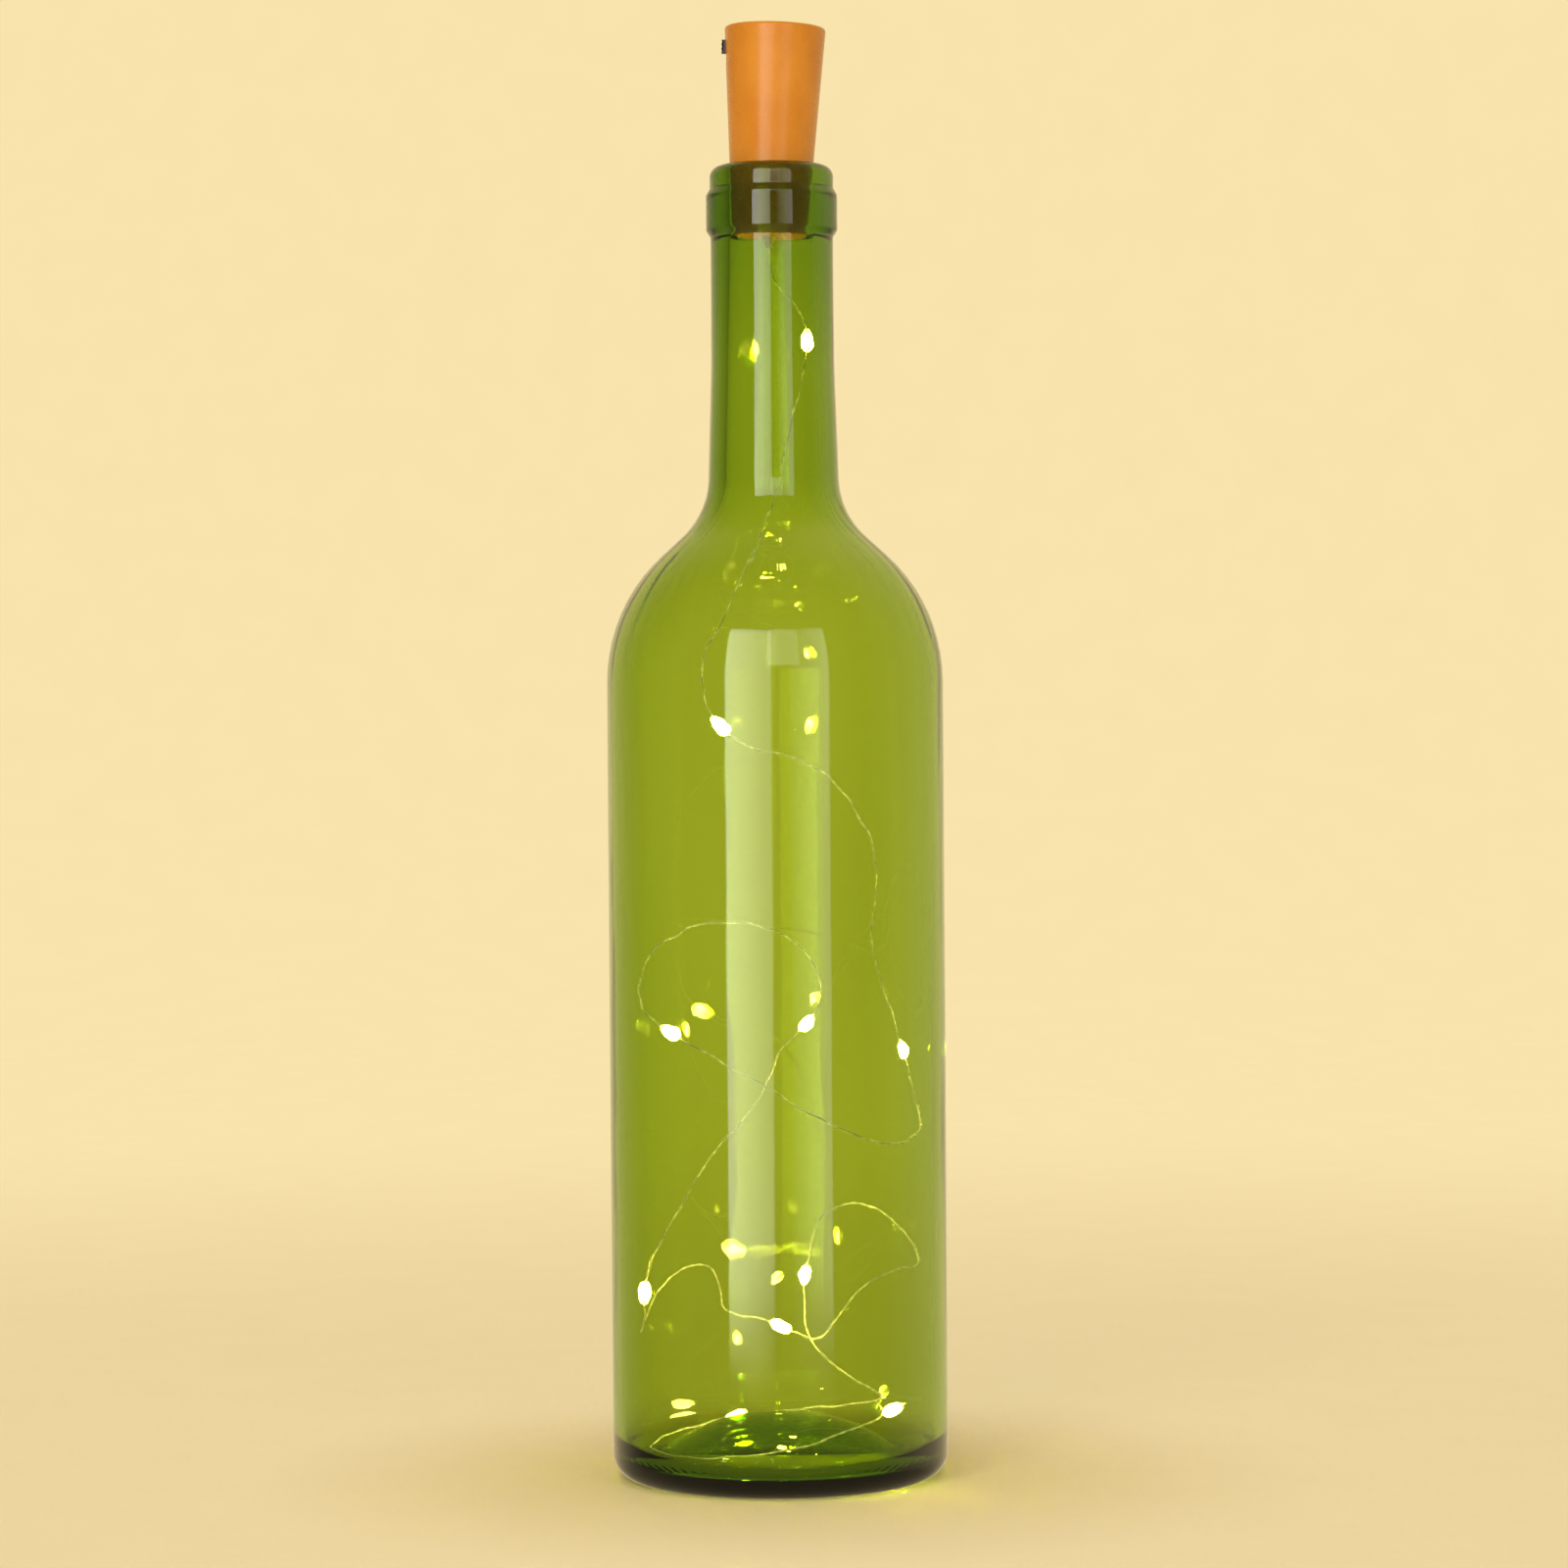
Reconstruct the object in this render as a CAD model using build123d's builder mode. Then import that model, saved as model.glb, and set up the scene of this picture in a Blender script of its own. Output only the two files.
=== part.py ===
"""Cork bottle light: a green glass wine bottle closed by a battery stopper shaped like a cork,
with a string of lit resin drops on fine silver wire hanging inside it.

Millimetres. The bottle stands on z = 0 with its axis on Z. The stopper's switch faces -X.
"""

from build123d import *
from math import cos, pi, radians, sin, tan
import os

os.makedirs("parts", exist_ok=True)

# Bottle
BOTTLE_HEIGHT = 292.5
BODY_DIAMETER = 75.0
BODY_WALL = 2.6
BASE_THICKNESS = 4.5
PUNT_DEPTH = 10.0
STANDING_RING_INNER_DIAMETER = 54.0
HEEL_RADIUS = 6.0
INNER_HEEL_RADIUS = 6.0
TROUGH_FLAT = 0.6  # level ring inside, between the wall's curve and the punt
SHOULDER_ANGLE = 47.5  # between the shoulder's slope and the bottle's axis
SHOULDER_RADIUS = 38.0
NECK_ROOT_DROP = 77.2  # mouth down to where the shoulder's slope meets the neck
NECK_ROOT_DIAMETER = 29.4
NECK_ROOT_RADIUS = 18.0
NECK_SLIM_DROP = 45.0  # mouth down to where the neck stops narrowing
NECK_DIAMETER = 27.3
NECK_WALL = 3.6
NECK_EASE_RADIUS = 150.0
FINISH_RING_DIAMETER = 29.3
FINISH_RING_HEIGHT = 10.8
FINISH_SLOPE_HEIGHT = 1.5  # at the ring's top and bottom, where it slopes in
LIP_DIAMETER = 27.6
LIP_HEIGHT = 5.1
LIP_RADIUS = 2.6
FINISH_EDGE_RADIUS = 1.2
MOUTH_BORE = 18.8
MOUTH_EDGE_RADIUS = 0.8
BORE_LENGTH = 20.0
BORE_EASE_RADIUS = 60.0

# Stopper shell: its girth follows from what it holds
CORK_LENGTH = 46.5
CORK_TAPER = 3.65  # degrees from the stopper's axis
CORK_LEAN = 2.0  # degrees towards +X, as it sits in the mouth
CORK_SEAT_CLEARANCE = 0.13
CORK_TOP_EDGE_RADIUS = 0.7
CORK_BOTTOM_EDGE_RADIUS = 0.8
SHELL_WALL = 1.4
SHELL_FLOOR = 1.5
RIM_WALL = 0.9
FIT_CLEARANCE = 0.15

# Cells and their holder
CELL_DIAMETER = 11.6
CELL_HEIGHT = 5.4
CELL_COUNT = 3
CELL_CAP_DIAMETER = 8.8
CELL_CAP_STAND = 0.4  # how far a cell's negative cap stands proud
CELL_CRIMP_DEPTH = 1.0
GASKET_WALL = 0.5
CELL_EDGE_RADIUS = 0.4
WELL_CLEARANCE = 0.2
WELL_WALL = 0.7
WELL_FLOOR = 1.0
FOOT_CLEARANCE = 0.4  # from the slotted foot to the shell
FLANGE_THICKNESS = 1.2
SPRING_ROOM = 2.2  # under the cells
SPRING_THICKNESS = 0.3
SPRING_WIDTH = 3.0
SPRING_REACH = 3.5
SPRING_BEND_RADIUS = 0.5
SPRING_LANDING = 1.5

# Cap over the cells
CAP_THICKNESS = 1.6
CAP_EDGE_RADIUS = 0.2
PLATE_THICKNESS = 0.3
PLATE_DIAMETER = 9.2
SCREW_DIAMETER = 1.8
SCREW_HEAD_DIAMETER = 3.3
SCREW_HEAD_HEIGHT = 0.9
SCREW_LENGTH = 8.0
SCREW_CLEARANCE = 0.1
SCREW_SLOT_WIDTH = 0.5
SCREW_SLOT_LENGTH = 2.2
SCREW_SLOT_DEPTH = 0.5
BOSS_WALL = 0.9
BOSS_MERGE = 0.6  # how far the boss sinks into the well's wall
BOSS_END = 1.0  # plastic left under the screw's tip
BOSS_ANGLE = 128.0  # round the well from +X

# Board, switch and what is soldered on
BOARD_THICKNESS = 1.0
BOARD_WIDTH = 8.7
BOARD_LENGTH = 28.0
BOARD_GAP = 0.1
BOARD_SLOT_CLEARANCE = 0.1
CLIP_THICKNESS = 0.3
CLIP_WIDTH = 1.2
CLIP_LENGTH = 3.0
CLIP_EDGE_GAP = 0.2  # from the board's long edge
KNOB_TOP_DEPTH = 3.1  # from the stopper's top, with the light switched on
KNOB_HEIGHT = 2.9
KNOB_WIDTH = 2.4
KNOB_STAND = 0.75  # out of the stopper's side
KNOB_EDGE_RADIUS = 0.35
SWITCH_TRAVEL = 2.0
SLOT_CLEARANCE = 0.25
WINDOW_CLEARANCE = 0.15
WAFER_THICKNESS = 0.7
SWITCH_WIDTH = 3.6
SWITCH_CAN_DEPTH = 2.2
SWITCH_CAN_WALL = 0.3
SLIDER_OVERHANG = 0.2  # past the knob, at each side, behind the can's front
SLIDER_CLEARANCE = 0.1
WIPER_THICKNESS = 0.4
WIPER_WIDTH = 1.2
WIPER_SHORTFALL = 0.6  # how much shorter than the slider the wiper is
WIPER_CLEARANCE = 0.05
TERMINAL_COUNT = 3
TERMINAL_PITCH = 2.0
TERMINAL_WIDTH = 0.6
TERMINAL_THICKNESS = 0.3
TERMINAL_LENGTH = 0.7
RESISTOR_LENGTH = 3.2
RESISTOR_WIDTH = 1.6
RESISTOR_HEIGHT = 0.6
RESISTOR_DROP = 4.0  # below the switch
SOLDER_LENGTH = 1.6
SOLDER_WIDTH = 1.3
SOLDER_HEIGHT = 0.7
SOLDER_EDGE_RADIUS = 0.2
SOLDER_SPACING = 3.2
SOLDER_EDGE_GAP = 1.5  # from the board's lower end

# Leads, seal and string
LEAD_DIAMETER = 0.4
LEAD_SPACING = 0.9  # where the leads enter the seal
LEAD_STRAIGHT_SHARE = 0.3  # of a lead's fall, at each end
SEAL_DIAMETER = 2.0
SEAL_FLANGE_DIAMETER = 4.0
SEAL_FLANGE_THICKNESS = 0.8
NIPPLE_DIAMETER = 3.2
NIPPLE_TIP_DIAMETER = 1.4
NIPPLE_LENGTH = 2.5
WIRE_DIAMETER = 0.5
DROP_LENGTH = 5.0
DROP_DIAMETER = 2.6
DROP_COLLAR = 0.12  # resin left round the wire at each end of a drop
CHIP_LENGTH = 1.2
CHIP_WIDTH = 0.7
CHIP_THICKNESS = 0.4

# The string's route. It leaves the stopper straight, and the neck stretch is measured from there.
# The slack stretch gives the share of its height that is still below each point.
EXIT_STRAIGHT = 4.2
JOIN_LENGTH = 4.0  # wire from a drop's run to where the slack stretch begins or ends
NECK_ROUTE = [
    (2.0, -0.6, -9.2),
    (5.6, -1.2, -13.0),
    (8.1, -1.5, -17.5),
    (8.4, -1.3, -23.9),
]
SLACK_ROUTE = [
    (4.8, 0.8, 0.84),
    (2.2, 2.2, 0.70),
    (-0.8, 2.4, 0.56),
    (-5.0, 0.8, 0.42),
    (-10.4, -2.6, 0.28),
    (-16.2, -7.4, 0.13),
]
STRING_ROUTE = [
    (-15.6, -7.0, 172.0),
    (-8.6, -4.9, 164.0),
    (-2.0, -2.4, 162.2),
    (4.5, 2.0, 160.6),
    (11.0, 7.4, 157.4),
    (17.5, 13.5, 150.6),
    (22.5, 19.0, 140.0),
    (23.2, 23.2, 129.0),
    (20.8, 25.2, 118.0),
    (23.8, 22.2, 108.5),
    (28.1, 15.8, 99.3),
    (30.7, 9.2, 89.7),
    (32.2, 0.0, 81.5),
    (30.5, -11.5, 76.5),
    (23.5, -22.0, 75.5),
    (12.4, -29.0, 80.5),
    (-2.0, -30.5, 89.0),
    (-12.4, -28.2, 95.3),
    (-19.1, -24.3, 98.8),
    (-26.8, -17.7, 103.2),
    (-31.0, -8.5, 107.5),
    (-31.2, 2.0, 112.8),
    (-27.5, 11.5, 118.6),
    (-19.0, 19.5, 122.6),
    (-8.0, 24.3, 123.3),
    (2.5, 24.5, 119.8),
    (9.8, 21.8, 113.0),
    (10.6, 18.2, 103.4),
    (2.6, 13.8, 97.2),
    (-1.2, 8.5, 90.5),
    (-4.5, 2.0, 84.0),
    (-10.5, -3.8, 77.8),
    (-16.0, -10.5, 71.5),
    (-20.6, -17.2, 63.0),
    (-25.0, -19.5, 55.0),
    (-28.9, -13.4, 48.3),
    (-29.3, -14.6, 37.6),
    (-31.4, -6.5, 32.4),
    (-31.5, 4.5, 34.6),
    (-28.2, 14.0, 40.2),
    (-22.0, 19.6, 45.4),
    (-15.8, 17.2, 45.8),
    (-13.4, 10.6, 41.2),
    (-12.6, 3.2, 37.2),
    (-9.4, -2.6, 36.2),
    (-4.4, -6.4, 36.8),
    (5.0, -9.7, 32.4),
    (9.0, -15.0, 32.6),
    (12.8, -20.5, 38.5),
    (18.5, -22.8, 46.0),
    (25.5, -19.0, 49.0),
    (30.5, -9.5, 48.0),
    (31.5, 2.0, 51.0),
    (27.0, 13.5, 56.0),
    (18.0, 18.8, 59.6),
    (9.6, 17.4, 57.2),
    (6.5, 12.0, 48.8),
    (4.5, 8.0, 38.8),
    (6.2, 5.0, 29.8),
    (12.8, 5.4, 22.6),
    (21.0, 10.5, 17.8),
    (25.2, 18.5, 14.6),
    (19.0, 25.6, 12.4),
    (8.0, 27.4, 11.4),
    (-4.6, 24.0, 11.0),
    (-15.2, 20.8, 9.4),
    (-24.5, 15.0, 7.6),
    (-29.0, 5.0, 6.8),
    (-29.2, -7.0, 6.4),
    (-25.0, -17.5, 6.4),
    (-17.0, -25.5, 7.0),
    (-6.0, -30.0, 9.2),
    (5.0, -30.8, 11.4),
    (15.0, -28.2, 14.0),
    (21.5, -24.2, 16.9),
    (26.8, -19.7, 19.1),
]
NECK_DROP_RUNS = [4]  # the runs of the neck stretch that hold a drop, counted from the stopper
STRING_DROP_RUNS = [1, 11, 19, 28, 36, 46, 57, 65, 75]  # the same for the looped stretch
ARC_SHARE = 0.45  # of the shorter run beside a bend, taken up by the bend

# Bottle sizes that follow
body_radius = BODY_DIAMETER / 2
body_inner_radius = body_radius - BODY_WALL
neck_root_radius = NECK_ROOT_DIAMETER / 2
neck_inner_radius = neck_root_radius - NECK_WALL
neck_radius = NECK_DIAMETER / 2
ring_radius = FINISH_RING_DIAMETER / 2
lip_radius = LIP_DIAMETER / 2
bore_radius = MOUTH_BORE / 2
slope = radians(SHOULDER_ANGLE)
neck_root_height = BOTTLE_HEIGHT - NECK_ROOT_DROP
shoulder_height = neck_root_height - (body_radius - neck_root_radius) / tan(slope)
shoulder_inner_height = shoulder_height - BODY_WALL * tan(slope / 2)
neck_inner_height = shoulder_inner_height + (body_inner_radius - neck_inner_radius) / tan(slope)
ring_top = BOTTLE_HEIGHT - LIP_HEIGHT
ring_bottom = ring_top - FINISH_RING_HEIGHT
trough_radius = body_inner_radius - INNER_HEEL_RADIUS - TROUGH_FLAT

# Stopper sizes that follow. Depths are measured down the stopper from its top.
taper = tan(radians(CORK_TAPER))
well_radius = CELL_DIAMETER / 2 + WELL_CLEARANCE
well_outer_radius = well_radius + WELL_WALL
cells_top_depth = CAP_THICKNESS
cells_bottom_depth = cells_top_depth + CELL_COUNT * CELL_HEIGHT
well_floor_depth = cells_bottom_depth + SPRING_ROOM
well_bottom_depth = well_floor_depth + WELL_FLOOR
ledge_depth = CAP_THICKNESS + FLANGE_THICKNESS
slider_length = KNOB_HEIGHT + 2 * SLIDER_OVERHANG
switch_length = slider_length + SWITCH_TRAVEL + 2 * (SLIDER_CLEARANCE + SWITCH_CAN_WALL)
knob_middle_depth = KNOB_TOP_DEPTH + KNOB_HEIGHT / 2
switch_middle_depth = knob_middle_depth + SWITCH_TRAVEL / 2
switch_end_depth = switch_middle_depth + switch_length / 2
switch_stack = well_outer_radius + BOARD_GAP + BOARD_THICKNESS + WAFER_THICKNESS + SWITCH_CAN_DEPTH

# The well stands off the stopper's axis by as much as lets the switch on one side and the well on
# the other both clear the shell.
shell_at_switch = well_outer_radius + taper * (well_bottom_depth - switch_end_depth)
well_offset = (switch_stack**2 + (SWITCH_WIDTH / 2) ** 2 - shell_at_switch**2) / (
    2 * (switch_stack + shell_at_switch)
)
shell_at_well = well_offset + well_outer_radius + FIT_CLEARANCE


def cavity_radius(depth):
    """Inside radius of the stopper's shell."""
    return shell_at_well + taper * (well_bottom_depth - depth)


def cork_radius(depth):
    """Outside radius of the stopper's shell."""
    return cavity_radius(depth) + SHELL_WALL


recess_radius = cork_radius(ledge_depth) - RIM_WALL
cap_radius = recess_radius - FIT_CLEARANCE
seat_depth = (cork_radius(0) - (bore_radius - CORK_SEAT_CLEARANCE)) / taper
floor_depth = CORK_LENGTH - SHELL_FLOOR
board_inner_x = well_offset - well_outer_radius - BOARD_GAP
board_outer_x = board_inner_x - BOARD_THICKNESS
board_top_depth = CAP_THICKNESS + CLIP_THICKNESS
board_bottom_depth = board_top_depth + BOARD_LENGTH
wafer_x = board_outer_x - WAFER_THICKNESS
can_front_x = wafer_x - SWITCH_CAN_DEPTH
slider_back_x = wafer_x - WIPER_CLEARANCE - WIPER_THICKNESS
slider_front_x = can_front_x + SWITCH_CAN_WALL + SLIDER_CLEARANCE
knob_face_x = -cork_radius(KNOB_TOP_DEPTH) - KNOB_STAND
clip_y = BOARD_WIDTH / 2 - CLIP_EDGE_GAP - CLIP_WIDTH / 2
boss_radius = SCREW_DIAMETER / 2 + SCREW_CLEARANCE + BOSS_WALL
boss_reach = well_outer_radius + boss_radius - BOSS_MERGE
boss_x = well_offset + boss_reach * cos(radians(BOSS_ANGLE))
boss_y = boss_reach * sin(radians(BOSS_ANGLE))
solder_depth = board_bottom_depth - SOLDER_EDGE_GAP - SOLDER_LENGTH / 2
exit_depth = CORK_LENGTH + NIPPLE_LENGTH
seal_top_depth = floor_depth - SEAL_FLANGE_THICKNESS

# Planes of the leaning stopper
lean = radians(CORK_LEAN)
cork_up = Vector(sin(lean), 0, cos(lean))
cork_right = Vector(cos(lean), 0, -sin(lean))
seat_height = BOTTLE_HEIGHT - MOUTH_EDGE_RADIUS
CORK_TOP = Plane(Vector(0, 0, seat_height) + cork_up * seat_depth, x_dir=cork_right, z_dir=cork_up)
CORK_AXIS = Axis(CORK_TOP.origin, CORK_TOP.z_dir)


def level(depth):
    """Plane across the stopper at a depth below its top."""
    return CORK_TOP.offset(-depth)


def section(x=0.0):
    """Plane down the stopper through its axis or a parallel one: sketch x is +X, sketch y is up."""
    return Plane(CORK_TOP.from_local_coords((x, 0, 0)), x_dir=CORK_TOP.x_dir, z_dir=-CORK_TOP.y_dir)


def side(x):
    """Plane facing the switch at a distance along X: sketch x is +Y, sketch y is down the stopper."""
    return Plane(CORK_TOP.from_local_coords((x, 0, 0)), x_dir=CORK_TOP.y_dir, z_dir=-CORK_TOP.x_dir)


CELL_AXIS = Axis(CORK_TOP.from_local_coords((well_offset, 0, 0)), CORK_TOP.z_dir)


def towards(start, end, distance):
    """The point at a distance from start on the straight line to end."""
    return start + (end - start).normalized() * distance


# Route of the string, from the stopper down
wire_exit = CORK_TOP.from_local_coords((0, 0, -exit_depth))
neck_points = [wire_exit, wire_exit - cork_up * EXIT_STRAIGHT]
neck_points += [wire_exit + Vector(*step) for step in NECK_ROUTE]
string_points = [Vector(*point) for point in STRING_ROUTE]
slack_top = neck_points[-1].Z
slack_bottom = string_points[0].Z
slack_points = [
    Vector(x, y, slack_bottom + share * (slack_top - slack_bottom)) for x, y, share in SLACK_ROUTE
]
upper_join = towards(neck_points[-1], slack_points[0], JOIN_LENGTH)
lower_join = towards(string_points[0], slack_points[-1], JOIN_LENGTH)
neck_points = neck_points + [upper_join]
slack_points = [upper_join] + slack_points + [lower_join]
string_points = [lower_join] + string_points


def bend_radii(points):
    """The largest radius that each bend of a route has room for."""
    radii = []
    for before, here, after in zip(points, points[1:], points[2:]):
        turn = radians((here - before).get_angle(after - here))
        shorter = min((here - before).length, (after - here).length)
        radii.append(ARC_SHARE * shorter / tan(turn / 2))
    return radii


def report_route(name, points, part, path_length):
    """Print what tells whether a stretch of wire came out as drawn."""
    expected = pi * WIRE_DIAMETER**2 / 4 * path_length
    runs = [(after - before).length for before, after in zip(points, points[1:])]
    print(f"{name}: {path_length:.1f} mm long, volume {part.volume / expected:.4f} of section x length")
    print("  radii", [round(radius, 1) for radius in bend_radii(points)])
    print("  runs", [round(run, 1) for run in runs])


def drop_plane(points, run):
    """Plane down a drop's middle: sketch x stands away from the wire, sketch y runs along it."""
    along = (points[run + 1] - points[run]).normalized()
    away = along.cross(Vector(0, 0, 1).cross(along)).normalized()
    middle = points[run] + along * ((points[run + 1] - points[run]).length / 2)
    return Plane(middle, x_dir=away, z_dir=away.cross(along))


def chip_sketch_plane(plane):
    """Plane of a light chip's foot on the wire, inside the drop of the given plane."""
    foot = plane.origin + plane.x_dir * (WIRE_DIAMETER / 2)
    return Plane(foot, x_dir=plane.y_dir, z_dir=plane.x_dir)


neck_drops = [drop_plane(neck_points, run) for run in NECK_DROP_RUNS]
string_drops = [drop_plane(string_points, run) for run in STRING_DROP_RUNS]

# Glass bottle
bottle_outline = [
    (STANDING_RING_INNER_DIAMETER / 2, 0),
    (body_radius, 0),
    (body_radius, shoulder_height),
    (neck_root_radius, neck_root_height),
    (neck_radius, BOTTLE_HEIGHT - NECK_SLIM_DROP),
    (neck_radius, ring_bottom),
    (ring_radius, ring_bottom + FINISH_SLOPE_HEIGHT),
    (ring_radius, ring_top - FINISH_SLOPE_HEIGHT),
    (lip_radius, ring_top),
    (lip_radius, BOTTLE_HEIGHT),
    (bore_radius, BOTTLE_HEIGHT),
    (bore_radius, BOTTLE_HEIGHT - BORE_LENGTH),
    (neck_inner_radius, neck_inner_height),
    (body_inner_radius, shoulder_inner_height),
    (body_inner_radius, BASE_THICKNESS),
    (trough_radius, BASE_THICKNESS),
]
bottle_rounding = [
    HEEL_RADIUS,
    SHOULDER_RADIUS,
    NECK_ROOT_RADIUS,
    NECK_EASE_RADIUS,
    FINISH_EDGE_RADIUS,
    FINISH_EDGE_RADIUS,
    FINISH_EDGE_RADIUS,
    FINISH_EDGE_RADIUS,
    LIP_RADIUS,
    MOUTH_EDGE_RADIUS,
    BORE_EASE_RADIUS,
    NECK_ROOT_RADIUS + NECK_WALL,
    SHOULDER_RADIUS - BODY_WALL,
    INNER_HEEL_RADIUS,
]
with BuildPart() as glass_bottle:
    with BuildSketch(Plane.XZ):
        with BuildLine():
            wall = FilletPolyline(*bottle_outline, radius=bottle_rounding)
            TangentArc((0, PUNT_DEPTH), wall @ 0, tangent=(1, 0))
            TangentArc((0, PUNT_DEPTH + BASE_THICKNESS), wall @ 1, tangent=(1, 0))
            Line((0, PUNT_DEPTH), (0, PUNT_DEPTH + BASE_THICKNESS))
        make_face()
    revolve(axis=Axis.Z)

# Stopper shell, open at the top, with the switch's slot in its side
with BuildPart() as cork_shell:
    with BuildSketch(section()):
        with BuildLine():
            FilletPolyline(
                (recess_radius, 0),
                (cork_radius(0), 0),
                (cork_radius(CORK_LENGTH), -CORK_LENGTH),
                (SEAL_DIAMETER / 2, -CORK_LENGTH),
                radius=[CORK_TOP_EDGE_RADIUS, CORK_BOTTOM_EDGE_RADIUS],
            )
            Polyline(
                (SEAL_DIAMETER / 2, -CORK_LENGTH),
                (SEAL_DIAMETER / 2, -floor_depth),
                (cavity_radius(floor_depth), -floor_depth),
                (cavity_radius(ledge_depth), -ledge_depth),
                (recess_radius, -ledge_depth),
                (recess_radius, 0),
            )
        make_face()
    revolve(axis=CORK_AXIS)
    with BuildSketch(side(0)):
        with Locations((0, switch_middle_depth)):
            Rectangle(KNOB_WIDTH + 2 * SLOT_CLEARANCE, KNOB_HEIGHT + SWITCH_TRAVEL + 2 * SLOT_CLEARANCE)
    extrude(amount=-knob_face_x, mode=Mode.SUBTRACT)

# Battery holder: flange on the shell's ledge, well for the cells, slotted foot and screw boss
with BuildPart() as battery_holder:
    with BuildSketch(level(CAP_THICKNESS)):
        Circle(cap_radius)
    extrude(amount=-FLANGE_THICKNESS)
    with BuildSketch(level(CAP_THICKNESS)):
        with Locations((well_offset, 0)):
            Circle(well_outer_radius)
    extrude(amount=CAP_THICKNESS - well_bottom_depth)
    with BuildSketch(level(well_bottom_depth)):
        Circle(cavity_radius(well_bottom_depth) - FOOT_CLEARANCE)
    extrude(amount=WELL_FLOOR)
    with BuildSketch(level(CAP_THICKNESS)):
        with Locations((boss_x, boss_y)):
            Circle(boss_radius)
    extrude(amount=-SCREW_LENGTH - BOSS_END)
    with BuildSketch(level(CAP_THICKNESS)):
        with Locations((well_offset, 0)):
            Circle(well_radius)
    extrude(amount=CAP_THICKNESS - well_floor_depth, mode=Mode.SUBTRACT)
    with BuildSketch(level(CAP_THICKNESS)):
        with Locations((boss_x, boss_y)):
            Circle(SCREW_DIAMETER / 2 + SCREW_CLEARANCE)
    extrude(amount=-SCREW_LENGTH, mode=Mode.SUBTRACT)
    with BuildSketch(level(CAP_THICKNESS)):
        with Locations((board_inner_x + BOARD_GAP / 2, 0)):
            Rectangle(
                recess_radius + board_inner_x,
                BOARD_WIDTH + 2 * BOARD_SLOT_CLEARANCE,
                align=(Align.MAX, Align.CENTER),
            )
    extrude(amount=-FLANGE_THICKNESS, mode=Mode.SUBTRACT)
    with BuildSketch(level(well_bottom_depth)):
        with Locations((board_inner_x - BOARD_THICKNESS / 2, 0)):
            Rectangle(
                BOARD_THICKNESS + 2 * BOARD_SLOT_CLEARANCE,
                BOARD_WIDTH + 2 * BOARD_SLOT_CLEARANCE,
            )
    extrude(amount=WELL_FLOOR, mode=Mode.SUBTRACT)
    with BuildSketch(level(well_floor_depth)):
        with Locations((board_inner_x, 0)):
            Rectangle(
                well_offset - board_inner_x,
                SPRING_WIDTH + 2 * FIT_CLEARANCE,
                align=(Align.MIN, Align.CENTER),
            )
    extrude(amount=SPRING_THICKNESS + FIT_CLEARANCE, mode=Mode.SUBTRACT)


def cell_top(index):
    """Depth of a cell's flat positive face."""
    return cells_top_depth + index * CELL_HEIGHT


# Cells: steel cans with their positive faces up, gaskets and negative caps
cell_axis_section = section(well_offset)
cap_cup_radius = CELL_CAP_DIAMETER / 2
gasket_radius = cap_cup_radius + GASKET_WALL
can_height = CELL_HEIGHT - CELL_CAP_STAND
with BuildPart() as cell_cans:
    for index in range(CELL_COUNT):
        top = -cell_top(index)
        with BuildSketch(cell_axis_section):
            with BuildLine():
                FilletPolyline(
                    (0, top),
                    (CELL_DIAMETER / 2, top),
                    (CELL_DIAMETER / 2, top - can_height),
                    (gasket_radius, top - can_height),
                    radius=CELL_EDGE_RADIUS,
                )
                Polyline(
                    (gasket_radius, top - can_height),
                    (gasket_radius, top - can_height + CELL_CRIMP_DEPTH),
                    (0, top - can_height + CELL_CRIMP_DEPTH),
                    (0, top),
                )
            make_face()
        revolve(axis=CELL_AXIS)

with BuildPart() as cell_gaskets:
    for index in range(CELL_COUNT):
        with BuildSketch(level(cell_top(index) + can_height)):
            with Locations((well_offset, 0)):
                Circle(gasket_radius)
                Circle(cap_cup_radius, mode=Mode.SUBTRACT)
        extrude(amount=CELL_CRIMP_DEPTH)

with BuildPart() as cell_caps:
    for index in range(CELL_COUNT):
        bottom = -cell_top(index) - CELL_HEIGHT
        with BuildSketch(cell_axis_section):
            with BuildLine():
                FilletPolyline(
                    (0, bottom),
                    (cap_cup_radius, bottom),
                    (cap_cup_radius, bottom + CELL_CAP_STAND + CELL_CRIMP_DEPTH),
                    radius=CELL_CAP_STAND / 2,
                )
                Polyline(
                    (cap_cup_radius, bottom + CELL_CAP_STAND + CELL_CRIMP_DEPTH),
                    (0, bottom + CELL_CAP_STAND + CELL_CRIMP_DEPTH),
                    (0, bottom),
                )
            make_face()
        revolve(axis=CELL_AXIS)

# Negative contact: a leaf that lies on the well's floor, reaches the board and folds back up
leaf_low = -well_floor_depth + SPRING_THICKNESS / 2
leaf_high = -cells_bottom_depth - SPRING_THICKNESS / 2
with BuildPart() as spring_contact:
    with BuildSketch(section()):
        with BuildLine():
            FilletPolyline(
                (board_inner_x, leaf_low),
                (well_offset + SPRING_REACH, leaf_low),
                (well_offset + SPRING_LANDING, leaf_high),
                (well_offset - SPRING_LANDING, leaf_high),
                radius=[SPRING_BEND_RADIUS, SPRING_BEND_RADIUS],
            )
        trace(line_width=SPRING_THICKNESS)
    extrude(amount=SPRING_WIDTH / 2, both=True)

# Board, standing beside the well
with BuildPart() as circuit_board:
    with BuildSketch(side(board_inner_x)):
        with Locations((0, board_top_depth)):
            Rectangle(BOARD_WIDTH, BOARD_LENGTH, align=(Align.CENTER, Align.MIN))
    extrude(amount=BOARD_THICKNESS)

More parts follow.
